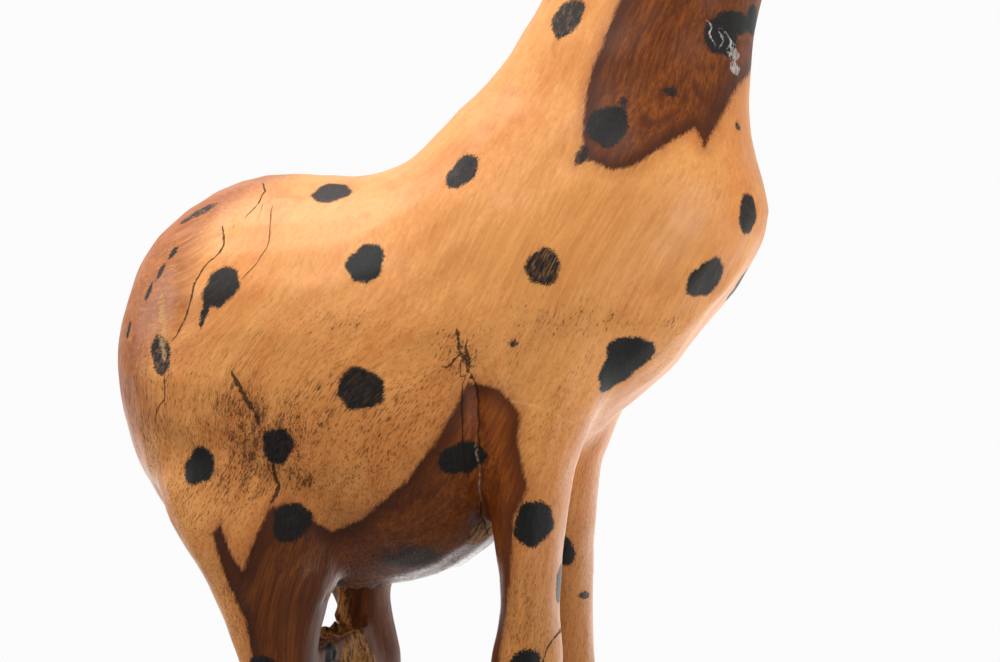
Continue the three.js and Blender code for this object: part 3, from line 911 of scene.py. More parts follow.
@dataclass
class NeckAndHead:
    """The upper neck and head, plugged onto the body by a dowel."""

    node: str = "neck_and_head"
    voxel: float = 1.75
    joint: NeckJoint = field(default_factory=NeckJoint)
    head: HeadFrame = field(default_factory=HeadFrame)
    hand_length: float = 70.0
    hand_depth: float = 0.7
    mouth: Line = ((205, -3), (190, -8), (172, -9), (156, -4), (146, 2))
    nostril: tuple[float, float] = (189.0, 9.0)
    jaw: Line = ((62, -34), (84, -27), (104, -22), (118, -12))

    def build(self, marks: WoodMarks, finish: "CarvedLogFinish") -> bpy.types.Object:
        """Remeshes the solid, carves the face and gives it its wood.

        Args:
            marks: the colours of the wood over the surface.
            finish: the material.

        Returns:
            The piece, riding on the neck.
        """
        skin = Skin.of_node(frame["nodes"][self.node], self.voxel)
        sawn = self.joint.own(skin.points)[:, 2] < self.joint.play + 0.4 * self.voxel
        seats = self.near_seats(skin.points)
        skin.relax(10, 1.0 - 0.85 * seats)
        throat = smoothstep(skin.points[:, 2], 1380.0, 1430.0) * (1.0 - seats)
        skin.fill_hollows(24, throat * (self.head.own(skin.points)[:, 0] < 70.0))
        skin.relax(4, 1.0 - seats)
        self.carve(skin, marks, seats)
        true_saw_cut(skin, self.joint, sawn, -1.0, self.joint.play)
        self.true_bores(skin)
        piece = skin.to_object("upper_neck_and_head", marks.fields(skin) | self.joint_fields(skin))
        piece.data.materials.append(finish.material())
        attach(piece, "neck")
        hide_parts(self.node)
        return piece

    def near_seats(self, points: Array) -> Array:
        """1 at the seats of eyes, horns and ears, fading to 0 within a few millimetres around them."""
        near = np.zeros(len(points))
        frames = ((self.head.eye_frame, 7.0), (self.head.horn_frame, 8.5), (self.head.ear_frame, 7.0))
        for side in Side:
            for frame_of, radius in frames:
                peg = frame_of(side)
                own = moved(points, peg.inverted())
                reach = np.hypot(own[:, 0], own[:, 1])
                mine = (1.0 - smoothstep(reach, radius + 0.5, radius + 3.5)) * (own[:, 2] > -20.0)
                near = np.maximum(near, mine * (np.abs(own[:, 2]) < 24.0))
        return near

    def carve(self, skin: Skin, marks: WoodMarks, seats: Array) -> None:
        """Cuts the neck's facets, the cracks and the face, each as a push along the normals."""
        points = skin.points
        _, _, _, cut = marks.crack_fields(skin)
        free = smoothstep(self.joint.own(points)[:, 2], 2.0, 14.0) * (1.0 - seats)
        on_head = smoothstep(self.head.own(points)[:, 0], 20.0, 60.0) * (points[:, 2] > 1380.0)
        amount = self.hand_depth * waves(points, self.hand_length, 1) * (1.0 - 0.5 * on_head)
        skin.push(free * (amount + 0.18 * waves(points, 22.0, 2) - cut + self.face(skin)))

    def face(self, skin: Skin) -> Array:
        """Eyelids, brow, nostrils, mouth and jaw, as heights over the head's surface."""
        own = self.head.own(skin.points)
        along, side, up = own[:, 0], np.abs(own[:, 1]), own[:, 2]
        head = (along > 5.0) & (skin.points[:, 2] > 1370.0)
        lateral = np.abs(skin.normals()[:, 1])
        ring = np.hypot((along - self.head.eye[0]) / 1.3, up - self.head.eye[2])
        beside = smoothstep(lateral, 0.35, 0.7)
        eyelid = 2.0 * np.exp(-(((ring - 10.0) / 2.2) ** 2)) - 1.1 * np.exp(-(((ring - 15.0) / 2.6) ** 2))
        height = beside * eyelid
        brow = np.exp(-(((up - 27.0 - 0.08 * (along - 76.0)) / 4.0) ** 2) - ((along - 74.0) / 26.0) ** 2)
        height += 1.6 * brow * smoothstep(side, 12.0, 24.0)
        flat = np.column_stack([along, up])
        mouth, share, _ = line_distance(flat, np.array(self.mouth, float))
        fade = 1.0 - smoothstep(share, 0.8, 1.0)
        height -= 1.9 * fade * np.exp(-((mouth / 1.5) ** 2))
        height += 0.8 * fade * np.exp(-(((mouth - 4.2) / 2.2) ** 2))
        ahead = along - self.nostril[0]
        nostril = np.hypot(ahead / 1.7, up - self.nostril[1] - 0.35 * ahead)
        wing = 1.2 * np.exp(-(((nostril - 4.6) / 1.6) ** 2)) - 4.2 * np.exp(-((nostril / 2.6) ** 2))
        height += smoothstep(side, 5.0, 9.0) * (1.0 - smoothstep(side, 19.0, 24.0)) * wing
        jaw, share, _ = line_distance(flat, np.array(self.jaw, float))
        height -= 1.0 * beside * np.sin(math.pi * share) * np.exp(-((jaw / 3.0) ** 2))
        ridge = smoothstep(along, 84.0, 100.0) * (1.0 - smoothstep(along, 150.0, 175.0)) * (up > 0.0)
        height += 1.4 * ridge * np.exp(-((side / 5.5) ** 2))
        return np.where(head, height, 0.0)

    def true_bores(self, skin: Skin) -> None:
        """Makes every bore round again."""
        bore = self.joint.radius + self.joint.play
        true_bore(skin, self.joint.matrix(), bore, -2.0, self.joint.in_neck, self.voxel)
        for side in Side:
            true_bore(skin, self.head.eye_frame(side), 7.3, -9.0, 10.0, self.voxel)
            true_bore(skin, self.head.horn_frame(side), 8.8, 0.3, 12.0, self.voxel)
            true_bore(skin, self.head.ear_frame(side), 7.3, 0.3, 12.0, self.voxel)

    def joint_fields(self, skin: Skin) -> dict[str, Array]:
        """The bare wood of the joint's face and bore, and no hooves."""
        own = self.joint.own(skin.points)
        return {"hoof": np.full(len(own), -60.0), "bare": np.minimum(1.5 - own[:, 2], 3.0)}


# ------------------------------------------------------------------------ pegs and plugs
def closed_form(name: str, rings: Array, foot: float, tip: float, place: Matrix, burnt: Array
                ) -> bpy.types.Object:
    """Makes a closed piece from rings of points, with a point on the axis at each end.

    Args:
        name: the piece's name.
        rings: a (rows, around, 3) array, counter-clockwise about Z, from foot to tip.
        foot: the height of the point that closes the first ring.
        tip: the height of the point that closes the last.
        place: from the piece's own axes to the statue's, in millimetres.
        burnt: how deep each of the rings' points lies inside the burnt part, below 0 outside it.

    Returns:
        The object, in metres, with its own axes kept in the attribute fibre.
    """
    rows, around, _ = rings.shape
    own = np.vstack([rings.reshape(-1, 3), (0.0, 0.0, foot), (0.0, 0.0, tip)])
    points = moved(own, place)
    row, column = np.meshgrid(np.arange(rows - 1), np.arange(around), indexing="ij")
    here, beside = row * around + column, row * around + (column + 1) % around
    quads = np.stack([here, beside, beside + around, here + around], axis=-1).reshape(-1, 4)
    edge, after = np.arange(around), (np.arange(around) + 1) % around
    last = (rows - 1) * around
    foot_fan = np.column_stack([np.full(around, rows * around), after, edge])
    tip_fan = np.column_stack([np.full(around, rows * around + 1), last + edge, last + after])
    mesh = bpy.data.meshes.new(name)
    mesh.from_pydata((points * MM).tolist(), [], quads.tolist() + foot_fan.tolist() + tip_fan.tolist())
    mesh.polygons.foreach_set("use_smooth", np.ones(len(mesh.polygons), bool))
    shift = np.array([37.0 * (len(name) % 7), 11.0 * (ord(name[-1]) % 5), 0.0])
    mesh.attributes.new("fibre", "FLOAT_VECTOR", "POINT").data.foreach_set(
        "vector", (own + shift).astype(np.float32).ravel())
    values = np.concatenate([burnt.ravel(), [burnt[0].mean(), burnt[-1].mean()]]).astype(np.float32)
    mesh.attributes.new("burnt", "FLOAT", "POINT").data.foreach_set("value", values)
    mesh.update()
    piece = bpy.data.objects.new(name, mesh)
    bpy.context.scene.collection.objects.link(piece)
    return piece


def cut_corners(profile: Array, rounds: int) -> Array:
    """Eases a profile: each round puts two points, a quarter of the way along its sides, for each corner."""
    for _ in range(rounds):
        first = profile[:-1] * 0.75 + profile[1:] * 0.25
        second = profile[:-1] * 0.25 + profile[1:] * 0.75
        inner = np.stack([first, second], axis=1).reshape(-1, profile.shape[1])
        profile = np.vstack([profile[:1], inner, profile[-1:]])
    return profile


def turned(profile: Array, around: int, flats: float = 0.0, seed: int = 0) -> Array:
    """Rings about Z from a profile of (radius, height) rows, with knife flats left by hand.

    A knife flat takes a little off the radius in a few directions: r (1 - flats cos^2 of a slow wave).

    Args:
        profile: the outline, from foot to tip, without its end points on the axis.
        around: points in each ring.
        flats: the share of the radius that the knife takes.
        seed: which flats.

    Returns:
        A (rows, around, 3) array.
    """
    angle = np.arange(around) * 2.0 * math.pi / around
    rng = np.random.default_rng(seed)
    height = profile[:, 1][:, None]
    wave = np.cos(3.0 * angle + 0.09 * height + rng.uniform(0, 6))
    wave *= np.cos(0.11 * height + rng.uniform(0, 6))
    radius = profile[:, 0][:, None] * (1.0 - flats * wave**2)
    heights = np.broadcast_to(height, radius.shape)
    return np.stack([radius * np.cos(angle), radius * np.sin(angle), heights], axis=-1)


@dataclass
class Horn:
    """A horn with a waist and a round burnt knob, on its tenon."""

    side: Side
    length: float = 46.0
    tenon: tuple[float, float] = (4.5, 14.0)
    shank: float = 8.5
    waist: float = 6.5
    knob: float = 9.0
    around: int = 48

    def build(self, head: HeadFrame, finish: "PegFinish") -> bpy.types.Object:
        """Turns the horn, sets it into the head and gives it its wood."""
        word = self.side.name.lower()
        radius, depth = self.tenon
        foot = np.array([(radius - 1.0, -depth), (radius, -depth + 1.0), (radius, 0.0), (radius, 0.4),
                         (self.shank - 0.6, 0.4), (self.shank, 1.0)], float)
        stem = np.array([
            (self.shank, 1.0), (self.shank - 0.1, 6.0), (self.waist + 0.2, self.length * 0.4),
            (self.waist, self.length * 0.58), (self.waist + 0.7, self.length * 0.7),
            (self.knob, self.length * 0.78), (self.knob, self.length * 0.9),
            (self.knob * 0.62, self.length * 0.985), (self.knob * 0.16, self.length),
        ], float)
        profile = np.vstack([foot[:-1], cut_corners(stem, 2)])
        rings = turned(profile, self.around, 0.05, 5 + self.side.value)
        height = np.broadcast_to(profile[:, 1][:, None], rings.shape[:2])
        burnt = height - self.length * 0.7 + 1.2 * np.sin(5.0 * np.arctan2(rings[..., 1], rings[..., 0]))
        place = head.horn_frame(self.side)
        piece = closed_form(f"turned_horn_{word}", rings, -depth, self.length, place, burnt)
        return settle(piece, finish, "neck", f"horn_{word}")


@dataclass
class Eye:
    """An inlaid eye: a plug of black wood with a polished dome."""

    side: Side
    radius: float = 7.0
    depth: float = 9.0
    wall: float = 3.0
    dome: float = 3.0
    around: int = 48

    def build(self, head: HeadFrame, finish: "PegFinish") -> bpy.types.Object:
        """Makes the plug: a straight wall, then a dome whose height is a quarter ellipse."""
        word = self.side.name.lower()
        turn = np.linspace(0.0, math.pi / 2.0, 12)[:-1]
        dome = np.column_stack([self.radius * np.cos(turn), self.wall + self.dome * np.sin(turn)])
        wall = np.array([(self.radius - 0.8, -self.depth), (self.radius, -self.depth + 0.8)], float)
        rings = turned(np.vstack([wall, dome]), self.around)
        burnt = np.full(rings.shape[:2], NOT_BURNT)
        top, place = self.wall + self.dome, head.eye_frame(self.side)
        piece = closed_form(f"inlaid_eye_{word}", rings, -self.depth, top, place, burnt)
        return settle(piece, finish, "neck", f"eye_{word}")


@dataclass
class Ear:
    """A leaf-shaped ear with a hollowed front, on a collar and a peg."""

    side: Side
    length: float = 62.0
    collar: tuple[float, float] = (7.0, 7.0)
    peg: tuple[float, float] = (4.5, 17.0)
    half_width: float = 13.0
    half_thick: float = 5.0
    around: int = 64
    rows: int = 56

    def build(self, head: HeadFrame, finish: "PegFinish") -> bpy.types.Object:
        """Makes the ear and sets it into the head.

        The blade's half width follows a leaf, w sin(pi (0.13 + 0.87 t)^0.92)^0.8, with t from collar to tip.
        Its back is a half ellipse. Its front is the same half ellipse, pressed in past the middle plane.
        """
        word = self.side.name.lower()
        angle = np.arange(self.around) * 2.0 * math.pi / self.around
        radius, depth = self.peg
        width, height = self.collar
        stem = np.array([
            (radius - 1.0, -depth), (radius, -depth + 1.0), (radius, 0.0), (radius, 0.4), (width - 0.7, 0.4),
            (width, 1.1), (width, height - 1.2), (width - 0.9, height),
        ], float)
        stem_rings = turned(stem, self.around)
        t = np.linspace(0.0, 0.985, self.rows)[:, None]
        rise = height + 0.2 + (self.length - height - 0.4) * t
        leaf = self.half_width * np.sin(math.pi * (0.13 + 0.87 * t) ** 0.92) ** 0.8
        wide = np.maximum(leaf, 0.35) * (1.0 + 0.02 * np.sin(14.0 * t))
        thick = self.half_thick * (1.0 - smoothstep(t, 0.45, 1.05) * 0.72)
        hollow = smoothstep(t, 0.06, 0.22) * (1.0 - smoothstep(t, 0.9, 0.99))
        cosine, sine = np.cos(angle), np.sin(angle)
        lip = 0.35 * hollow * sine**2 * np.abs(cosine) ** 0.5
        front = thick * (cosine * (1.0 - 1.45 * hollow * np.abs(cosine)) + lip)
        back = thick * cosine
        x = np.where(cosine > 0.0, front, back)
        blade = np.stack([x, wide * sine, np.broadcast_to(rise, x.shape)], axis=-1)
        rings = np.concatenate([stem_rings, blade])
        # The burnt field inside the ear grows with the depth of its hollow: burn, and painted shade in the
        # recess.
        inside = np.where(cosine > 0.0, 2.2 * hollow * cosine, 0.0) - 1.2
        burnt = np.concatenate([np.full(stem_rings.shape[:2], -3.0), inside])
        place = head.ear_frame(self.side)
        piece = closed_form(f"leaf_ear_{word}", rings, -depth, self.length - 0.2, place, burnt)
        return settle(piece, finish, f"{word}_ear", f"ear_{word}")


@dataclass
class Dowel:
    """The loose dowel of the neck, chamfered at both ends and fluted where it is glued into the neck."""

    joint: NeckJoint = field(default_factory=NeckJoint)
    chamfer: float = 2.0
    flutes: int = 20
    flute_depth: float = 0.35
    around: int = 160

    def build(self, finish: "PegFinish") -> bpy.types.Object:
        """Turns the dowel: its flutes take flute_depth (1 - cos)/2 off the radius above the saw cut."""
        top, bottom, radius = self.joint.in_neck, -self.joint.in_body, self.joint.radius
        profile = np.array([
            (radius - self.chamfer, bottom), (radius - 0.3, bottom + self.chamfer - 0.3),
            (radius, bottom + 3.0), (radius, -2.0), (radius, 6.0), (radius, top - 3.0),
            (radius - 0.3, top - self.chamfer + 0.3), (radius - self.chamfer, top),
        ], float)
        rings = turned(profile, self.around)
        angle = np.arange(self.around) * 2.0 * math.pi / self.around
        cut = self.flute_depth * (0.5 - 0.5 * np.cos(self.flutes * angle))
        share = smoothstep(profile[:, 1], -1.0, 5.0)[:, None] * cut / radius
        rings[..., :2] *= (1.0 - share)[..., None]
        burnt = np.full(rings.shape[:2], NOT_BURNT)
        piece = closed_form("turned_dowel", rings, bottom, top, self.joint.matrix(), burnt)
        return settle(piece, finish, "neck", "neck_dowel")


def settle(piece: bpy.types.Object, finish: "PegFinish", body: str, node: str) -> bpy.types.Object:
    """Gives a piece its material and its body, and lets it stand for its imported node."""
    piece.data.materials.append(finish.material())
    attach(piece, body)
    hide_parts(node)
    return piece


# ------------------------------------------------------------------------ shader wiring
Socket = bpy.types.NodeSocket
Feed = Union[Socket, float, tuple]


@dataclass
class Wiring:
    """Short calls that place shader nodes in one tree and join them."""

    tree: bpy.types.NodeTree

    def place(self, kind: str, **settings: object) -> bpy.types.Node:
        """Adds a node of the given kind, with its settings."""
        node = self.tree.nodes.new(kind)
        for word, value in settings.items():
            setattr(node, word, value)
        return node

    def feed(self, socket: Socket, source: Feed) -> None:
        """Joins a source to a socket, or sets the socket where the source is a number or a colour."""
        if isinstance(source, Socket):
            self.tree.links.new(source, socket)
        elif isinstance(source, tuple) and len(source) == 3 and len(socket.default_value) == 4:
            socket.default_value = (*source, 1.0)
        else:
            socket.default_value = source

    def math(self, operation: str, first: Feed, second: Feed = 0.0, third: Feed = 0.0) -> Socket:
        """One sum on numbers."""
        node = self.place("ShaderNodeMath", operation=operation)
        for socket, source in zip(node.inputs, (first, second, third)):
            self.feed(socket, source)
        return node.outputs[0]

    def scaled(self, place: Feed, factors: Triple) -> Socket:
        """A place with each of its coordinates scaled."""
        node = self.place("ShaderNodeVectorMath", operation="MULTIPLY")
        self.feed(node.inputs[0], place)
        node.inputs[1].default_value = factors
        return node.outputs[0]

    def times(self, first: Feed, second: Feed) -> Socket:
        """Two numbers multiplied."""
        return self.math("MULTIPLY", first, second)

    def plus(self, start: Feed, value: Feed, factor: Feed) -> Socket:
        """A number, plus another one times a factor."""
        return self.math("MULTIPLY_ADD", value, factor, start)

    def rise(self, value: Feed, low: Feed, high: Feed, start: Feed = 0.0, end: Feed = 1.0) -> Socket:
        """A smooth step from start at low to end at high."""
        node = self.place("ShaderNodeMapRange", interpolation_type="SMOOTHSTEP")
        for socket, source in zip(node.inputs, (value, low, high, start, end)):
            self.feed(socket, source)
        return node.outputs[0]

    def noise(self, place: Feed, scale: float, detail: float = 2.0, rough: float = 0.5) -> Socket:
        """Clouds from 0 to 1, at so many to the millimetre."""
        node = self.place("ShaderNodeTexNoise")
        self.feed(node.inputs["Vector"], place)
        node.inputs["Scale"].default_value = scale
        node.inputs["Detail"].default_value = detail
        node.inputs["Roughness"].default_value = rough
        return node.outputs["Fac"]

    def mix(self, share: Feed, first: Feed, second: Feed, way: str = "MIX") -> Socket:
        """A colour between two."""
        node = self.place("ShaderNodeMix", data_type="RGBA", blend_type=way)
        self.feed(node.inputs[0], share)
        self.feed(node.inputs[6], first)
        self.feed(node.inputs[7], second)
        return node.outputs[2]

    def tint(self, share: Feed, colour: Feed, factors: Triple) -> Socket:
        """A colour with its three parts scaled, by a share."""
        return self.mix(share, colour, factors, "MULTIPLY")

    def blend(self, share: Feed, first: Feed, second: Feed) -> Socket:
        """A number between two."""
        node = self.place("ShaderNodeMix", data_type="FLOAT")
        for socket, source in zip((node.inputs[0], node.inputs[2], node.inputs[3]), (share, first, second)):
            self.feed(socket, source)
        return node.outputs[0]

    def attribute(self, word: str, output: str = "Fac") -> Socket:
        """A field kept on the mesh."""
        return self.place("ShaderNodeAttribute", attribute_name=word).outputs[output]

    def group(self, tree: bpy.types.NodeTree, **feeds: Feed) -> dict[str, Socket]:
        """Places a shared group, joins its inputs by name and returns its outputs by name."""
        node = self.place("ShaderNodeGroup", node_tree=tree)
        for word, source in feeds.items():
            self.feed(node.inputs[word], source)
        return {socket.name: socket for socket in node.outputs}


def new_group(name: str, inputs: dict[str, str], outputs: list[str]) -> tuple[Wiring, dict, dict]:
    """Starts a shader group.

    Args:
        name: the group's name.
        inputs: its inputs and their kinds, Float or Vector.
        outputs: its outputs, all numbers.

    Returns:
        The wiring of its tree, its inputs as sockets by name, and its output sockets by name.
    """
    tree = bpy.data.node_groups.new(name, "ShaderNodeTree")
    for word, kind in inputs.items():
        tree.interface.new_socket(name=word, in_out="INPUT", socket_type=f"NodeSocket{kind}")
    for word in outputs:
        tree.interface.new_socket(name=word, in_out="OUTPUT", socket_type="NodeSocketFloat")
    wiring = Wiring(tree)
    entry, leave = wiring.place("NodeGroupInput"), wiring.place("NodeGroupOutput")
    return wiring, dict(entry.outputs.items()), dict(leave.inputs.items())


@dataclass
class WoodEffects:
    """The shader groups that every wood of the statue shares."""

    fibres: bpy.types.NodeTree = field(init=False)
    ragged: bpy.types.NodeTree = field(init=False)
    crack: bpy.types.NodeTree = field(init=False)

    def __post_init__(self) -> None:
        """Builds the three groups once."""
        self.fibres = self.make_fibres()
        self.ragged = self.make_ragged()
        self.crack = self.make_crack()

    def make_fibres(self) -> bpy.types.NodeTree:
        """Fibre streaks, pore dashes, growth bands and their relief, all stretched along the grain."""
        g, entry, leave = new_group(
            "wood fibres",
            {"Fibre": "Vector", "Ring": "Float"},
            ["Streaks", "Hairs", "Pores", "Bands", "Strands", "Height"],
        )
        fibre = entry["Fibre"]
        streaks = g.noise(g.scaled(fibre, (1.0, 1.0, 0.035)), 0.34, 5.0, 0.65)
        hairs = g.noise(g.scaled(fibre, (1.0, 1.0, 0.09)), 1.0, 3.0, 0.7)
        wander = g.noise(g.scaled(fibre, (1.0, 1.0, 0.25)), 0.03, 2.0, 0.5)
        rings = g.plus(g.times(entry["Ring"], 0.19), wander, 9.0)
        band = g.place("ShaderNodeTexNoise", noise_dimensions="1D")
        g.feed(band.inputs["W"], rings)
        band.inputs["Scale"].default_value = 1.0
        band.inputs["Detail"].default_value = 3.0
        cells = g.place("ShaderNodeTexVoronoi", feature="F1")
        g.feed(cells.inputs["Vector"], g.scaled(fibre, (0.95, 0.95, 0.15)))
        cells.inputs["Scale"].default_value = 1.0
        crowd = g.noise(g.scaled(fibre, (1.0, 1.0, 0.4)), 0.035, 2.0, 0.6)
        width = g.rise(crowd, 0.35, 0.65, 0.12, 0.3)
        pores = g.rise(g.math("SUBTRACT", width, cells.outputs["Distance"]), -0.03, 0.05)
        relief = g.plus(g.times(hairs, 0.015), streaks, 0.035)
        g.feed(leave["Streaks"], streaks)
        g.feed(leave["Hairs"], hairs)
        g.feed(leave["Pores"], pores)
        g.feed(leave["Bands"], band.outputs["Fac"])
        g.feed(leave["Strands"], g.noise(g.scaled(fibre, (1.0, 1.0, 0.018)), 0.9, 2.0, 0.6))
        g.feed(leave["Height"], g.plus(relief, pores, -0.1))
        return g.tree

    def make_ragged(self) -> bpy.types.NodeTree:
        """A mask with edges that run ragged along the grain, from a signed distance in millimetres."""
        g, entry, leave = new_group(
            "ragged edge",
            {"Distance": "Float", "Fibre": "Vector", "Ragged": "Float", "Teeth": "Float", "Soft": "Float"},
            ["Mask", "Depth"],
        )
        coarse = g.noise(g.scaled(entry["Fibre"], (1.0, 1.0, 0.16)), 0.3, 2.0, 0.6)
        fine = g.noise(g.scaled(entry["Fibre"], (1.0, 1.0, 0.13)), 0.95, 2.0, 0.6)
        shake = g.plus(g.plus(-2.0, fine, 2.4), coarse, 1.6)
        depth = g.plus(entry["Distance"], shake, entry["Ragged"])
        teeth = g.plus(-1.0, g.noise(g.scaled(entry["Fibre"], (1.0, 1.0, 0.7)), 1.1, 4.0, 0.8), 2.0)
        depth = g.plus(depth, teeth, entry["Teeth"])
        g.feed(leave["Mask"], g.rise(depth, g.times(entry["Soft"], -1.0), entry["Soft"]))
        g.feed(leave["Depth"], depth)
        return g.tree

    def make_crack(self) -> bpy.types.NodeTree:
        """A drying crack's mask: 1 where the shaken distance across it is less than half its width."""
        inputs = {"Across": "Float", "Half": "Float", "Fibre": "Vector"}
        g, entry, leave = new_group("drying crack", inputs, ["Mask"])
        shake = g.math("SUBTRACT", g.noise(entry["Fibre"], 0.42, 4.0, 0.8), 0.5)
        across = g.plus(entry["Across"], shake, g.rise(entry["Half"], 0.0, 0.8, 1.2, 4.4))
        opening = g.rise(g.noise(entry["Fibre"], 0.2, 3.0, 0.7), 0.3, 0.6, 0.25, 1.35)
        gape = g.times(entry["Half"], opening)
        inside = g.rise(g.math("SUBTRACT", gape, g.math("ABSOLUTE", across)), -0.35, 0.25)
        g.feed(leave["Mask"], g.times(inside, g.math("GREATER_THAN", entry["Half"], 0.04)))
        return g.tree


def new_material(name: str) -> tuple[bpy.types.Material, Wiring, bpy.types.Node]:
    """Starts a material: itself, its wiring and its Principled shader."""
    material = bpy.data.materials.new(name)
    material.use_nodes = True
    wiring = Wiring(material.node_tree)
    return material, wiring, material.node_tree.nodes["Principled BSDF"]


def relief(wiring: Wiring, height: Feed, shader: bpy.types.Node) -> None:
    """Bends the shader's normal by a height in millimetres."""
    bump = wiring.place("ShaderNodeBump")
    bump.inputs["Strength"].default_value = 1.0
    bump.inputs["Distance"].default_value = MM
    wiring.feed(bump.inputs["Height"], height)
    wiring.feed(shader.inputs["Normal"], bump.outputs["Normal"])


@dataclass
class Finish:
    """A material that is built the first time it is asked for."""

    effects: WoodEffects
    made: Union[bpy.types.Material, None] = field(default=None, init=False)

    def material(self) -> bpy.types.Material:
        """The material, the same one for every piece that asks."""
        if self.made is None:
            self.made = self.build()
        return self.made

    def build(self) -> bpy.types.Material:
        """Wires the material, each finish in its own way."""
        raise NotImplementedError

    def ragged(self, g: Wiring, word: str, ragged: float, teeth: float, soft: float) -> dict[str, Socket]:
        """The ragged edge of a field: how far it runs along the grain, its teeth, and how soft it is."""
        fibre = g.attribute("fibre", "Vector")
        return g.group(self.effects.ragged, Distance=g.attribute(word), Fibre=fibre, Ragged=ragged,
                       Teeth=teeth, Soft=soft)


@dataclass
class CarvedLogFinish(Finish):
    """The waxed two-tone log with burnt spots."""

    sap_light: Triple = (0.79, 0.345, 0.098)
    sap_dark: Triple = (0.62, 0.235, 0.058)
    sap_strand: Triple = (0.95, 0.52, 0.22)
    ruddy: Triple = (0.31, 0.085, 0.022)
    heart_light: Triple = (0.29, 0.075, 0.007)
    heart_dark: Triple = (0.085, 0.018, 0.003)
    heart_edge: Triple = (0.05, 0.012, 0.003)
    burnt: Triple = (0.007, 0.0065, 0.006)
    burnt_grey: Triple = (0.026, 0.023, 0.021)
    dirt: Triple = (0.085, 0.028, 0.010)
    tar: Triple = (0.014, 0.018, 0.018)
    gap: Triple = (0.03, 0.012, 0.006)
    scratch: Triple = (0.78, 0.47, 0.2)
    scraped: Triple = (0.5, 0.48, 0.44)
    bare: Triple = (0.62, 0.36, 0.17)
    torn_dark: Triple = (0.045, 0.018, 0.008)
    torn_gold: Triple = (0.58, 0.27, 0.075)
    specular: float = 0.3
    coat_rough: float = 0.3
    coat_ior: float = 1.45
    ior: float = 1.4

    def build(self) -> bpy.types.Material:
        """Lays sapwood, heartwood, dirt, burnt spots, torn wood and cracks over each other, under wax."""
        material, g, shader = new_material("waxed two-tone log")
        fibre = g.attribute("fibre", "Vector")
        wood = g.group(self.effects.fibres, Fibre=fibre, Ring=g.attribute("ring"))
        pitted, polish = g.attribute("pitted"), g.attribute("polish")
        heart = self.ragged(g, "heart", 1.7, 1.8, 1.5)
        # A ruddy band just outside the heartwood's border: darker wood, and painted shade along the border.
        border = g.times(g.rise(heart["Depth"], -9.0, 0.0, 0.0, 0.5), g.rise(wood["Streaks"], 0.3, 0.6))
        sap = g.mix(border, self.sapwood(g, fibre, wood, pitted), self.ruddy)
        colour = g.mix(heart["Mask"], sap, self.heartwood(g, wood, heart["Depth"]))
        colour, stain = self.soiled(g, fibre, wood, pitted, colour)

        rubbed = g.noise(g.scaled(fibre, (1.0, 1.0, 0.35)), 0.4, 4.0, 0.75)
        rubbed = g.math("MAXIMUM", g.rise(rubbed, 0.46, 0.68), g.rise(wood["Strands"], 0.6, 0.66, 0.0, 1.6))
        char = self.charred(g, rubbed)
        black = g.mix(g.rise(wood["Hairs"], 0.45, 0.75, 0.0, 0.8), self.burnt, self.burnt_grey)
        colour = g.mix(char, colour, black)

        rip = g.noise(g.scaled(fibre, (1.0, 1.0, 0.3)), 0.22, 5.0, 0.75)
        torn = g.rise(g.plus(g.attribute("torn"), rip, 0.9), 0.85, 1.05)
        gold = g.mix(g.rise(rip, 0.38, 0.54), self.torn_dark, self.torn_gold)
        gold = g.mix(g.rise(wood["Strands"], 0.48, 0.6, 0.0, 0.45), gold, self.torn_dark)
        colour = g.mix(torn, colour, gold)

        across, half = g.attribute("crack_across"), g.attribute("crack_half")
        crack = g.group(self.effects.crack, Across=across, Half=half, Fibre=fibre)["Mask"]
        pale = g.attribute("crack_pale")
        scraped = g.rise(pale, 0.02, 0.06)
        shown = g.blend(scraped, 0.88, g.times(pale, g.rise(rubbed, 0.0, 0.3, 0.45, 1.0)))
        line = g.mix(scraped, self.gap, g.mix(g.rise(pale, 0.4, 0.8), self.scratch, self.scraped))
        colour = g.mix(g.times(crack, shown), colour, line)
        raw = g.rise(g.attribute("bare"), 0.4, 1.2)
        colour = g.mix(raw, colour, g.mix(wood["Streaks"], self.bare, self.sap_light))
        g.feed(shader.inputs["Base Color"], colour)

        matt = g.times(g.math("MAXIMUM", stain, torn), 0.7)
        matt = g.math("MAXIMUM", g.math("MAXIMUM", crack, raw), matt)
        rough = g.plus(g.plus(0.36, wood["Streaks"], 0.2), char, 0.08)
        rough = g.plus(rough, polish, g.rise(wood["Strands"], 0.42, 0.6, -0.26, 0.05))
        # The hind legs' finish is duller where their shade is painted.
        rough = g.plus(g.plus(rough, g.attribute("smoky"), 0.2), matt, 0.3)
        g.feed(shader.inputs["Roughness"], rough)
        gloss = g.blend(char, g.blend(heart["Mask"], 0.17, 0.06), 0.1)
        gloss = g.plus(gloss, polish, g.rise(wood["Strands"], 0.42, 0.6, 0.9, 0.2))
        g.feed(shader.inputs["Coat Weight"], g.times(g.math("SUBTRACT", 1.0, matt), gloss))
        shader.inputs["Specular IOR Level"].default_value = self.specular
        shader.inputs["Coat Roughness"].default_value = self.coat_rough
        shader.inputs["Coat IOR"].default_value = self.coat_ior
        shader.inputs["IOR"].default_value = self.ior

        height = g.plus(wood["Height"], crack, g.blend(scraped, -0.9, -0.1))
        height = g.plus(height, char, g.plus(-0.16, wood["Hairs"], 0.12))
        height = g.plus(g.plus(height, stain, -0.25), g.times(torn, rip), 2.2)
        relief(g, height, shader)
        return material

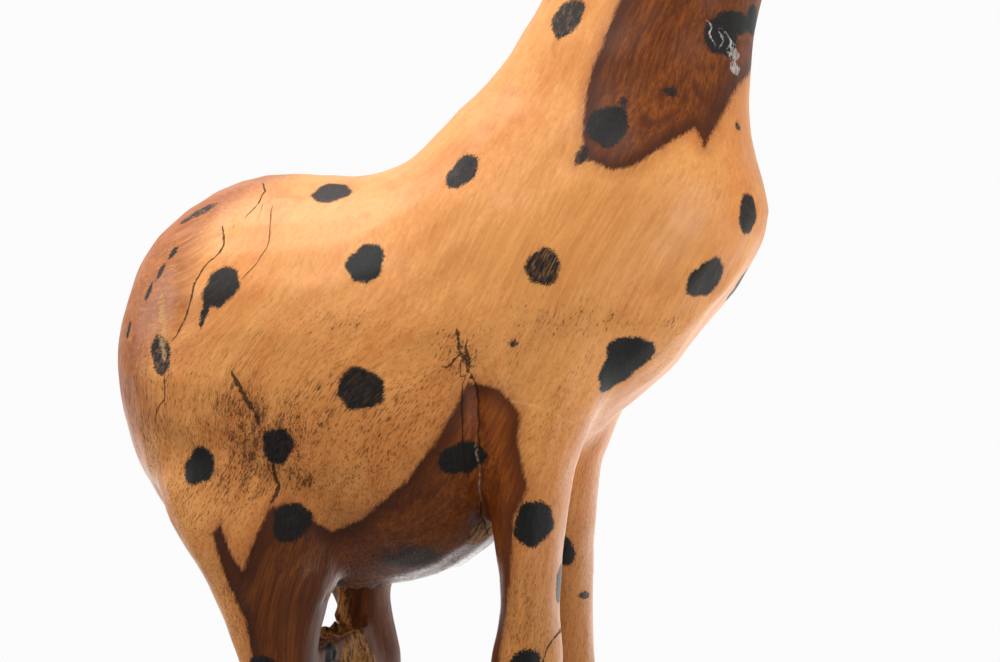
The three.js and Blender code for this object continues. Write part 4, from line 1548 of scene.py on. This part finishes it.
    def sapwood(self, g: Wiring, fibre: Socket, wood: dict[str, Socket], pitted: Socket) -> Socket:
        """Pale wood: clouds, streaks and light strands, redder at the rump, flecked where it is pitted, with
        painted shade below the flank.
        """
        clouds = g.noise(g.scaled(fibre, (1.0, 1.0, 0.6)), 0.02, 4.0, 0.6)
        tone = g.plus(g.times(wood["Bands"], 0.2), wood["Streaks"], 0.8)
        tone = g.plus(tone, g.math("SUBTRACT", clouds, 0.5), 0.6)
        sap = g.mix(g.rise(tone, 0.2, 0.7), self.sap_dark, self.sap_light)
        rump = g.times(g.attribute("ruddy"), g.rise(wood["Streaks"], 0.2, 0.75, 1.0, 0.6))
        sap = g.mix(rump, sap, self.ruddy)
        hairs = g.times(g.rise(wood["Hairs"], 0.5, 0.72), g.blend(pitted, 0.12, 0.4))
        sap = g.tint(hairs, sap, (0.6, 0.46, 0.36))
        sap = g.mix(g.rise(wood["Strands"], 0.58, 0.68, 0.0, 0.25), sap, self.sap_strand)
        fleck = g.rise(g.noise(g.scaled(fibre, (1.0, 1.0, 0.6)), 0.5, 3.0, 0.65), 0.52, 0.62)
        sap = g.tint(g.times(fleck, g.blend(pitted, 0.14, 0.62)), sap, (0.62, 0.5, 0.42))
        smudge = g.rise(g.noise(g.scaled(fibre, (1.0, 1.0, 0.5)), 0.11, 5.0, 0.7), 0.45, 0.7, 0.0, 0.7)
        sap = g.tint(g.times(smudge, g.blend(pitted, 0.1, 0.6)), sap, (0.66, 0.56, 0.46))
        warm = g.noise(g.scaled(fibre, (1.0, 1.0, 0.5)), 0.017, 5.0, 0.65)
        sap = g.tint(g.rise(warm, 0.45, 0.62, 0.0, 0.8), sap, (0.9, 0.76, 0.66))
        # The last tint is painted shade below the flank.
        return g.tint(g.attribute("dusky"), sap, (0.82, 0.79, 0.77))

    def heartwood(self, g: Wiring, wood: dict[str, Socket], depth: Socket) -> Socket:
        """Dark wood in streaks, darkest along its border, russet on the forelegs, and darkened on the hind legs
        by painted shade.
        """
        grain = g.plus(g.times(wood["Streaks"], 0.65), wood["Bands"], 0.35)
        dark = g.mix(g.rise(grain, 0.3, 0.7), self.heart_dark, self.heart_light)
        dark = g.mix(g.rise(depth, 1.0, 15.0, 0.9, 0.0), dark, self.heart_edge)
        dark = g.mix(g.rise(wood["Strands"], 0.42, 0.6, 0.0, 0.55), dark, self.heart_dark)
        dark = g.tint(g.attribute("russet"), dark, (1.5, 1.45, 1.3))
        # Painted shade: the hind legs' heartwood is darkened.
        return g.tint(g.attribute("smoky"), dark, (0.75, 0.75, 0.75))

    def soiled(
        self, g: Wiring, fibre: Socket, wood: dict[str, Socket], pitted: Socket, colour: Socket
    ) -> tuple[Socket, Socket]:
        """Lays a film of dirt, tar, specks and dark pores over a colour, and returns the specks' mask too."""
        grime = g.attribute("grime")
        smear = g.noise(g.scaled(fibre, (1.0, 1.0, 0.5)), 0.09, 4.0, 0.65)
        specks = g.noise(g.scaled(fibre, (1.0, 1.0, 0.4)), 0.62, 3.0, 0.7)
        reach = g.times(g.plus(-0.3, smear, 1.6), grime)
        stain = g.rise(g.plus(specks, reach, 0.32), 0.7, 0.76)
        colour = g.tint(g.times(g.rise(reach, 0.1, 0.9), 0.55), colour, (0.45, 0.33, 0.24))
        patches = g.noise(g.scaled(fibre, (1.0, 1.0, 0.4)), 0.12, 4.0, 0.65)
        tar = g.plus(g.attribute("tarry"), patches, 0.8)
        colour = g.mix(g.rise(tar, 0.7, 1.15, 0.0, 0.85), colour, self.tar)
        filled = g.math("MAXIMUM", g.rise(grime, 0.2, 0.8, 0.0, 0.95), g.blend(pitted, 0.1, 0.9))
        pits = g.times(wood["Pores"], filled)
        return g.mix(g.math("MAXIMUM", g.times(stain, 0.8), pits), colour, self.dirt), stain

    def charred(self, g: Wiring, rubbed: Socket) -> Socket:
        """How burnt the wood is: the spots, less where they are rubbed, and the hooves."""
        spot, hoof = self.ragged(g, "spot", 0.6, 5.5, 0.3), self.ragged(g, "hoof", 1.6, 1.5, 1.4)
        worn = g.times(g.attribute("spot_wear"), rubbed)
        char = g.times(spot["Mask"], g.math("SUBTRACT", 1.0, worn))
        return g.math("MAXIMUM", char, g.times(hoof["Mask"], 0.93))


@dataclass
class PegFinish(Finish):
    """A small turned or carved piece of one wood, with a burnt part where its field burnt is above 0; in an
    ear's hollow that part is painted shade as well as burn.
    """

    name: str
    light: Triple
    dark: Triple
    burnt: Triple = (0.016, 0.012, 0.010)
    rough: float = 0.32
    wax: float = 0.5
    wax_rough: float = 0.16

    def build(self) -> bpy.types.Material:
        """Grain, pores and the burnt part, under wax; in an ear's hollow the burnt part is also painted shade.
        """
        material, g, shader = new_material(self.name)
        fibre = g.attribute("fibre", "Vector")
        across = g.place("ShaderNodeSeparateXYZ")
        g.feed(across.inputs[0], fibre)
        wood = g.group(self.effects.fibres, Fibre=fibre, Ring=across.outputs["X"])
        grain = g.plus(g.times(wood["Streaks"], 0.4), wood["Bands"], 0.6)
        colour = g.mix(g.rise(grain, 0.3, 0.72), self.dark, self.light)
        colour = g.mix(g.times(wood["Pores"], 0.6), colour, self.dark)
        burnt = self.ragged(g, "burnt", 0.7, 0.5, 0.7)["Mask"]
        g.feed(shader.inputs["Base Color"], g.mix(g.times(burnt, 0.94), colour, self.burnt))
        g.feed(shader.inputs["Roughness"], g.plus(self.rough - 0.07, wood["Streaks"], 0.14))
        g.feed(shader.inputs["Coat Weight"], g.plus(self.wax, burnt, -0.3 * self.wax))
        shader.inputs["Coat Roughness"].default_value = self.wax_rough
        shader.inputs["IOR"].default_value = 1.45
        relief(g, wood["Height"], shader)
        return material


# ------------------------------------------------------------------------ studio
@dataclass(frozen=True)
class Softbox:
    """A rectangular lamp that faces a place from a direction, at a distance in metres and a power in watts.

    Its grid lets light out within a spread in degrees, so that a narrow one lights only what it faces.
    """

    name: str
    direction: Triple
    distance: float
    size: tuple[float, float]
    power: float
    facing: Triple = (-0.018, 0.0, 0.494)
    spread: float = 180.0

    def hang(self) -> None:
        """Makes the lamp and turns it to what it faces."""
        data = bpy.data.lights.new(self.name, "AREA")
        data.shape = "RECTANGLE"
        data.size, data.size_y = self.size
        data.energy = self.power
        data.spread = math.radians(self.spread)
        lamp = bpy.data.objects.new(self.name, data)
        aim = Vector(self.direction).normalized()
        across = Vector((1.0, 0.0, 0.0)) if abs(aim.z) > 0.6 else Vector((0.0, 0.0, 1.0)).cross(aim)
        across = (across - aim * across.dot(aim)).normalized()
        lamp.location = Vector(self.facing) + aim * self.distance
        lamp.rotation_euler = Matrix((across, aim.cross(across), aim)).transposed().to_euler()
        bpy.context.scene.collection.objects.link(lamp)


@dataclass(frozen=True)
class Studio:
    """A pale studio: softboxes from above, in front and low at both sides, a white wall and a pale floor."""

    azimuth: float = 14.0
    target: Triple = (-0.018, 0.0, 0.494)
    distance: float = 1.1
    lens: float = 60.0
    sensor: float = 36.0
    softboxes: tuple[Softbox, ...] = (
        Softbox("overhead softbox", (-0.33, -0.06, 0.93), 2.3, (1.7, 1.4), 47.0),
        Softbox("high front softbox", (-0.05, -0.66, 0.72), 2.8, (1.5, 1.2), 32.0),
        Softbox("left softbox", (-0.86, -0.3, 0.3), 2.0, (0.8, 0.8), 14.0),
        Softbox("chest softbox", (0.82, -0.53, -0.21), 0.75, (0.45, 0.36), 0.4, (0.14, -0.05, 0.59), 56.0),
        Softbox("low side softbox", (0.75, -0.63, -0.05), 2.6, (1.3, 1.2), 7.5),
    )

    def build(self) -> None:
        """Sets up camera, lights, backdrop and floor."""
        bpy.context.scene.view_settings.view_transform = "Standard"
        self.camera()
        for softbox in self.softboxes:
            softbox.hang()
        self.surroundings()
        self.floor()

    def camera(self) -> None:
        """Places the camera level with its target."""
        turn = math.radians(self.azimuth)
        place = Vector(self.target) + Vector((math.sin(turn), -math.cos(turn), 0.0)) * self.distance
        data = bpy.data.cameras.new("camera")
        data.lens = self.lens
        data.sensor_width = self.sensor
        data.clip_start = 0.01
        camera = bpy.data.objects.new("camera", data)
        camera.location = place
        camera.rotation_euler = (Vector(self.target) - place).to_track_quat("-Z", "Y").to_euler()
        bpy.context.scene.collection.objects.link(camera)
        bpy.context.scene.camera = camera

    def surroundings(self) -> None:
        """White to the eye; to the wood, bright behind the statue and dim in front of it."""
        world = bpy.data.worlds.new("white studio")
        bpy.context.scene.world = world
        world.use_nodes = True
        g = Wiring(world.node_tree)
        background = world.node_tree.nodes["Background"]
        background.inputs["Color"].default_value = (1.0, 1.0, 1.0, 1.0)
        coordinates = g.place("ShaderNodeTexCoord")
        ways = g.place("ShaderNodeSeparateXYZ")
        g.feed(ways.inputs[0], coordinates.outputs["Generated"])
        behind = g.rise(ways.outputs["Y"], -0.3, 0.8, 0.11, 0.72)
        lifted = g.plus(behind, g.rise(ways.outputs["Z"], -0.1, 0.9), 0.3)
        path = g.place("ShaderNodeLightPath")
        g.feed(background.inputs["Strength"], g.blend(path.outputs["Is Camera Ray"], lifted, 0.97))

    def floor(self, radius: float = 4.0, around: int = 96) -> None:
        """A pale round floor that fades to white light away from the statue."""
        angle = np.arange(around) * 2.0 * math.pi / around
        rim = np.column_stack([radius * np.cos(angle), radius * np.sin(angle), np.full(around, -0.0005)])
        mesh = bpy.data.meshes.new("floor")
        mesh.from_pydata(rim.tolist(), [], [list(range(around))])
        floor = bpy.data.objects.new("floor", mesh)
        bpy.context.scene.collection.objects.link(floor)
        material, g, shader = new_material("pale floor")
        place = g.place("ShaderNodeTexCoord").outputs["Object"]
        length = g.place("ShaderNodeVectorMath", operation="LENGTH")
        g.feed(length.inputs[0], place)
        grain = g.noise(place, 40.0, 3.0, 0.6)
        path = g.place("ShaderNodeLightPath")
        seen = path.outputs["Is Camera Ray"]
        far = g.rise(length.outputs["Value"], g.blend(seen, 0.0, 0.35), g.blend(seen, 0.5, 1.3))
        pale = g.mix(g.times(grain, 0.06), (0.8, 0.8, 0.79), (0.6, 0.6, 0.58))
        g.feed(shader.inputs["Base Color"], g.mix(seen, (0.42, 0.42, 0.42), pale))
        ways = g.place("ShaderNodeSeparateXYZ")
        g.feed(ways.inputs[0], place)
        behind = g.rise(ways.outputs["Y"], -0.3, 0.9, 0.25, 2.4)
        shader.inputs["Roughness"].default_value = 0.7
        glow = g.place("ShaderNodeEmission")
        glow.inputs["Color"].default_value = (1.0, 1.0, 1.0, 1.0)
        g.feed(glow.inputs["Strength"], g.blend(seen, behind, 0.97))
        both = g.place("ShaderNodeMixShader")
        g.feed(both.inputs[0], far)
        material.node_tree.links.new(shader.outputs[0], both.inputs[1])
        material.node_tree.links.new(glow.outputs[0], both.inputs[2])
        material.node_tree.links.new(both.outputs[0], material.node_tree.nodes["Material Output"].inputs[0])
        mesh.materials.append(material)


# ------------------------------------------------------------------------ the statue
@dataclass
class SpotThrower:
    """Burnt spots for the sides that no list names, thrown like darts with a spacing between them."""

    spacing: float = 74.0
    tries: int = 5000
    seed: int = 29
    toward_front: tuple[float, float] = (0.242, -0.970)
    listed_heights: tuple[float, float] = (268.0, 712.0)
    joint: NeckJoint = field(default_factory=NeckJoint)
    head: HeadFrame = field(default_factory=HeadFrame)

    def throw(self, node: str, taken: tuple[Spot, ...]) -> list[Spot]:
        """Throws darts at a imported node's faces and keeps those that are clear of all the others.

        Args:
            node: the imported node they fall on.
            taken: the spots that are already there.

        Returns:
            The new spots.
        """
        mesh = frame["nodes"][node].data
        points = np.empty(len(mesh.vertices) * 3, np.float32)
        mesh.vertices.foreach_get("co", points)
        faces = np.empty(len(mesh.loops), np.int32)
        mesh.loops.foreach_get("vertex_index", faces)
        corner = (points.reshape(-1, 3).astype(float) / MM)[faces.reshape(-1, 3)]
        cross = np.cross(corner[:, 1] - corner[:, 0], corner[:, 2] - corner[:, 0])
        area = np.linalg.norm(cross, axis=1)
        rng = np.random.default_rng(self.seed)
        pick = rng.choice(len(area), self.tries, p=area / area.sum())
        share = rng.uniform(size=(self.tries, 2, 1))
        share = np.where(share.sum(axis=1, keepdims=True) > 1.0, 1.0 - share, share)
        places = corner[pick, 0] + ((corner[pick, 1:] - corner[pick, :1]) * share).sum(axis=1)
        normals = cross[pick] / area[pick, None]
        open_wood = self.is_open(places, normals)
        kept = [np.array([spot.x, spot.y, spot.z]) for spot in taken]
        spots = []
        for place in places[open_wood]:
            if min(np.linalg.norm(place - other) for other in kept) < self.spacing * rng.uniform(0.8, 1.1):
                continue
            kept.append(place)
            across, tall = rng.uniform(9.5, 14.5), rng.uniform(10.5, 15.0)
            small = 0.8 if place[2] < 260.0 or place[2] > 1400.0 else 1.0
            wear = rng.uniform(0.0, 0.3)
            spots.append(Spot(*place, across * small, tall * small, rng.uniform(-30.0, 30.0), wear))
        return spots

    def is_open(self, places: Array, normals: Array) -> Array:
        """Whether a place may take a thrown spot: off the listed ones, the seams, the tail and the face."""
        x, y, z = places.T
        low, high = self.listed_heights
        listed = (normals[:, :2] @ np.array(self.toward_front) > -0.1) & (z > low) & (z < high)
        seam = np.abs(self.joint.own(places)[:, 2]) < 20.0
        tail = (normals[:, 0] < -0.8) & (np.abs(y) < 26.0) & (z > 310.0) & (z < 560.0)
        between_legs = (np.abs(y) < 45.0) & (z < 330.0) & (normals[:, 2] < 0.2)
        belly = (normals[:, 2] < -0.4) & (z > 310.0) & (z < 390.0) & (x < 0.0)
        own = self.head.own(places)
        face = (z > 1380.0) & (own[:, 0] > 48.0) & (own[:, 0] < 104.0)
        muzzle = (z > 1380.0) & (own[:, 0] > 136.0)
        seats = (z > 1470.0) & (own[:, 0] < 60.0) & (np.abs(normals[:, 1]) > 0.2)
        return ~(listed | seam | tail | between_legs | belly | face | muzzle | seats) & (z > 55.0)


def main() -> None:
    """Builds the statue piece by piece, logs each piece's faces, then builds the studio."""
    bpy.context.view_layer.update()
    effects = WoodEffects()
    log_finish = CarvedLogFinish(effects)
    horn_finish = PegFinish(effects, "waxed dark heartwood", (0.20, 0.068, 0.024), (0.07, 0.021, 0.008))
    eye_finish = PegFinish(effects, "polished black wood", (0.02, 0.015, 0.012), (0.008, 0.006, 0.005),
                           rough=0.2, wax=0.9, wax_rough=0.06)
    dowel_finish = PegFinish(effects, "bare turned wood", (0.66, 0.42, 0.22), (0.5, 0.27, 0.12),
                             rough=0.62, wax=0.0)
    thrower = SpotThrower()
    body_spots = thrower.throw("body_carving", RIGHT_SPOTS)
    neck_spots = thrower.throw("neck_and_head", RIGHT_SPOTS)
    body_marks = WoodMarks(spots=list(RIGHT_SPOTS) + body_spots)
    neck_marks = WoodMarks(spots=neck_spots)
    head = HeadFrame()
    pieces = [
        BodyCarving().build(body_marks, log_finish),
        NeckAndHead().build(neck_marks, log_finish),
        Dowel().build(dowel_finish),
    ]
    for side in Side:
        pieces.append(Horn(side).build(head, horn_finish))
        pieces.append(Eye(side).build(head, eye_finish))
        pieces.append(Ear(side).build(head, horn_finish))
    for piece in pieces:
        LOG.info("%s: %d faces", piece.name, len(piece.data.polygons))
    Studio().build()


if __name__ == "__main__":
    logging.basicConfig(level=logging.INFO, format="%(message)s")
    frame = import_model()
    main()
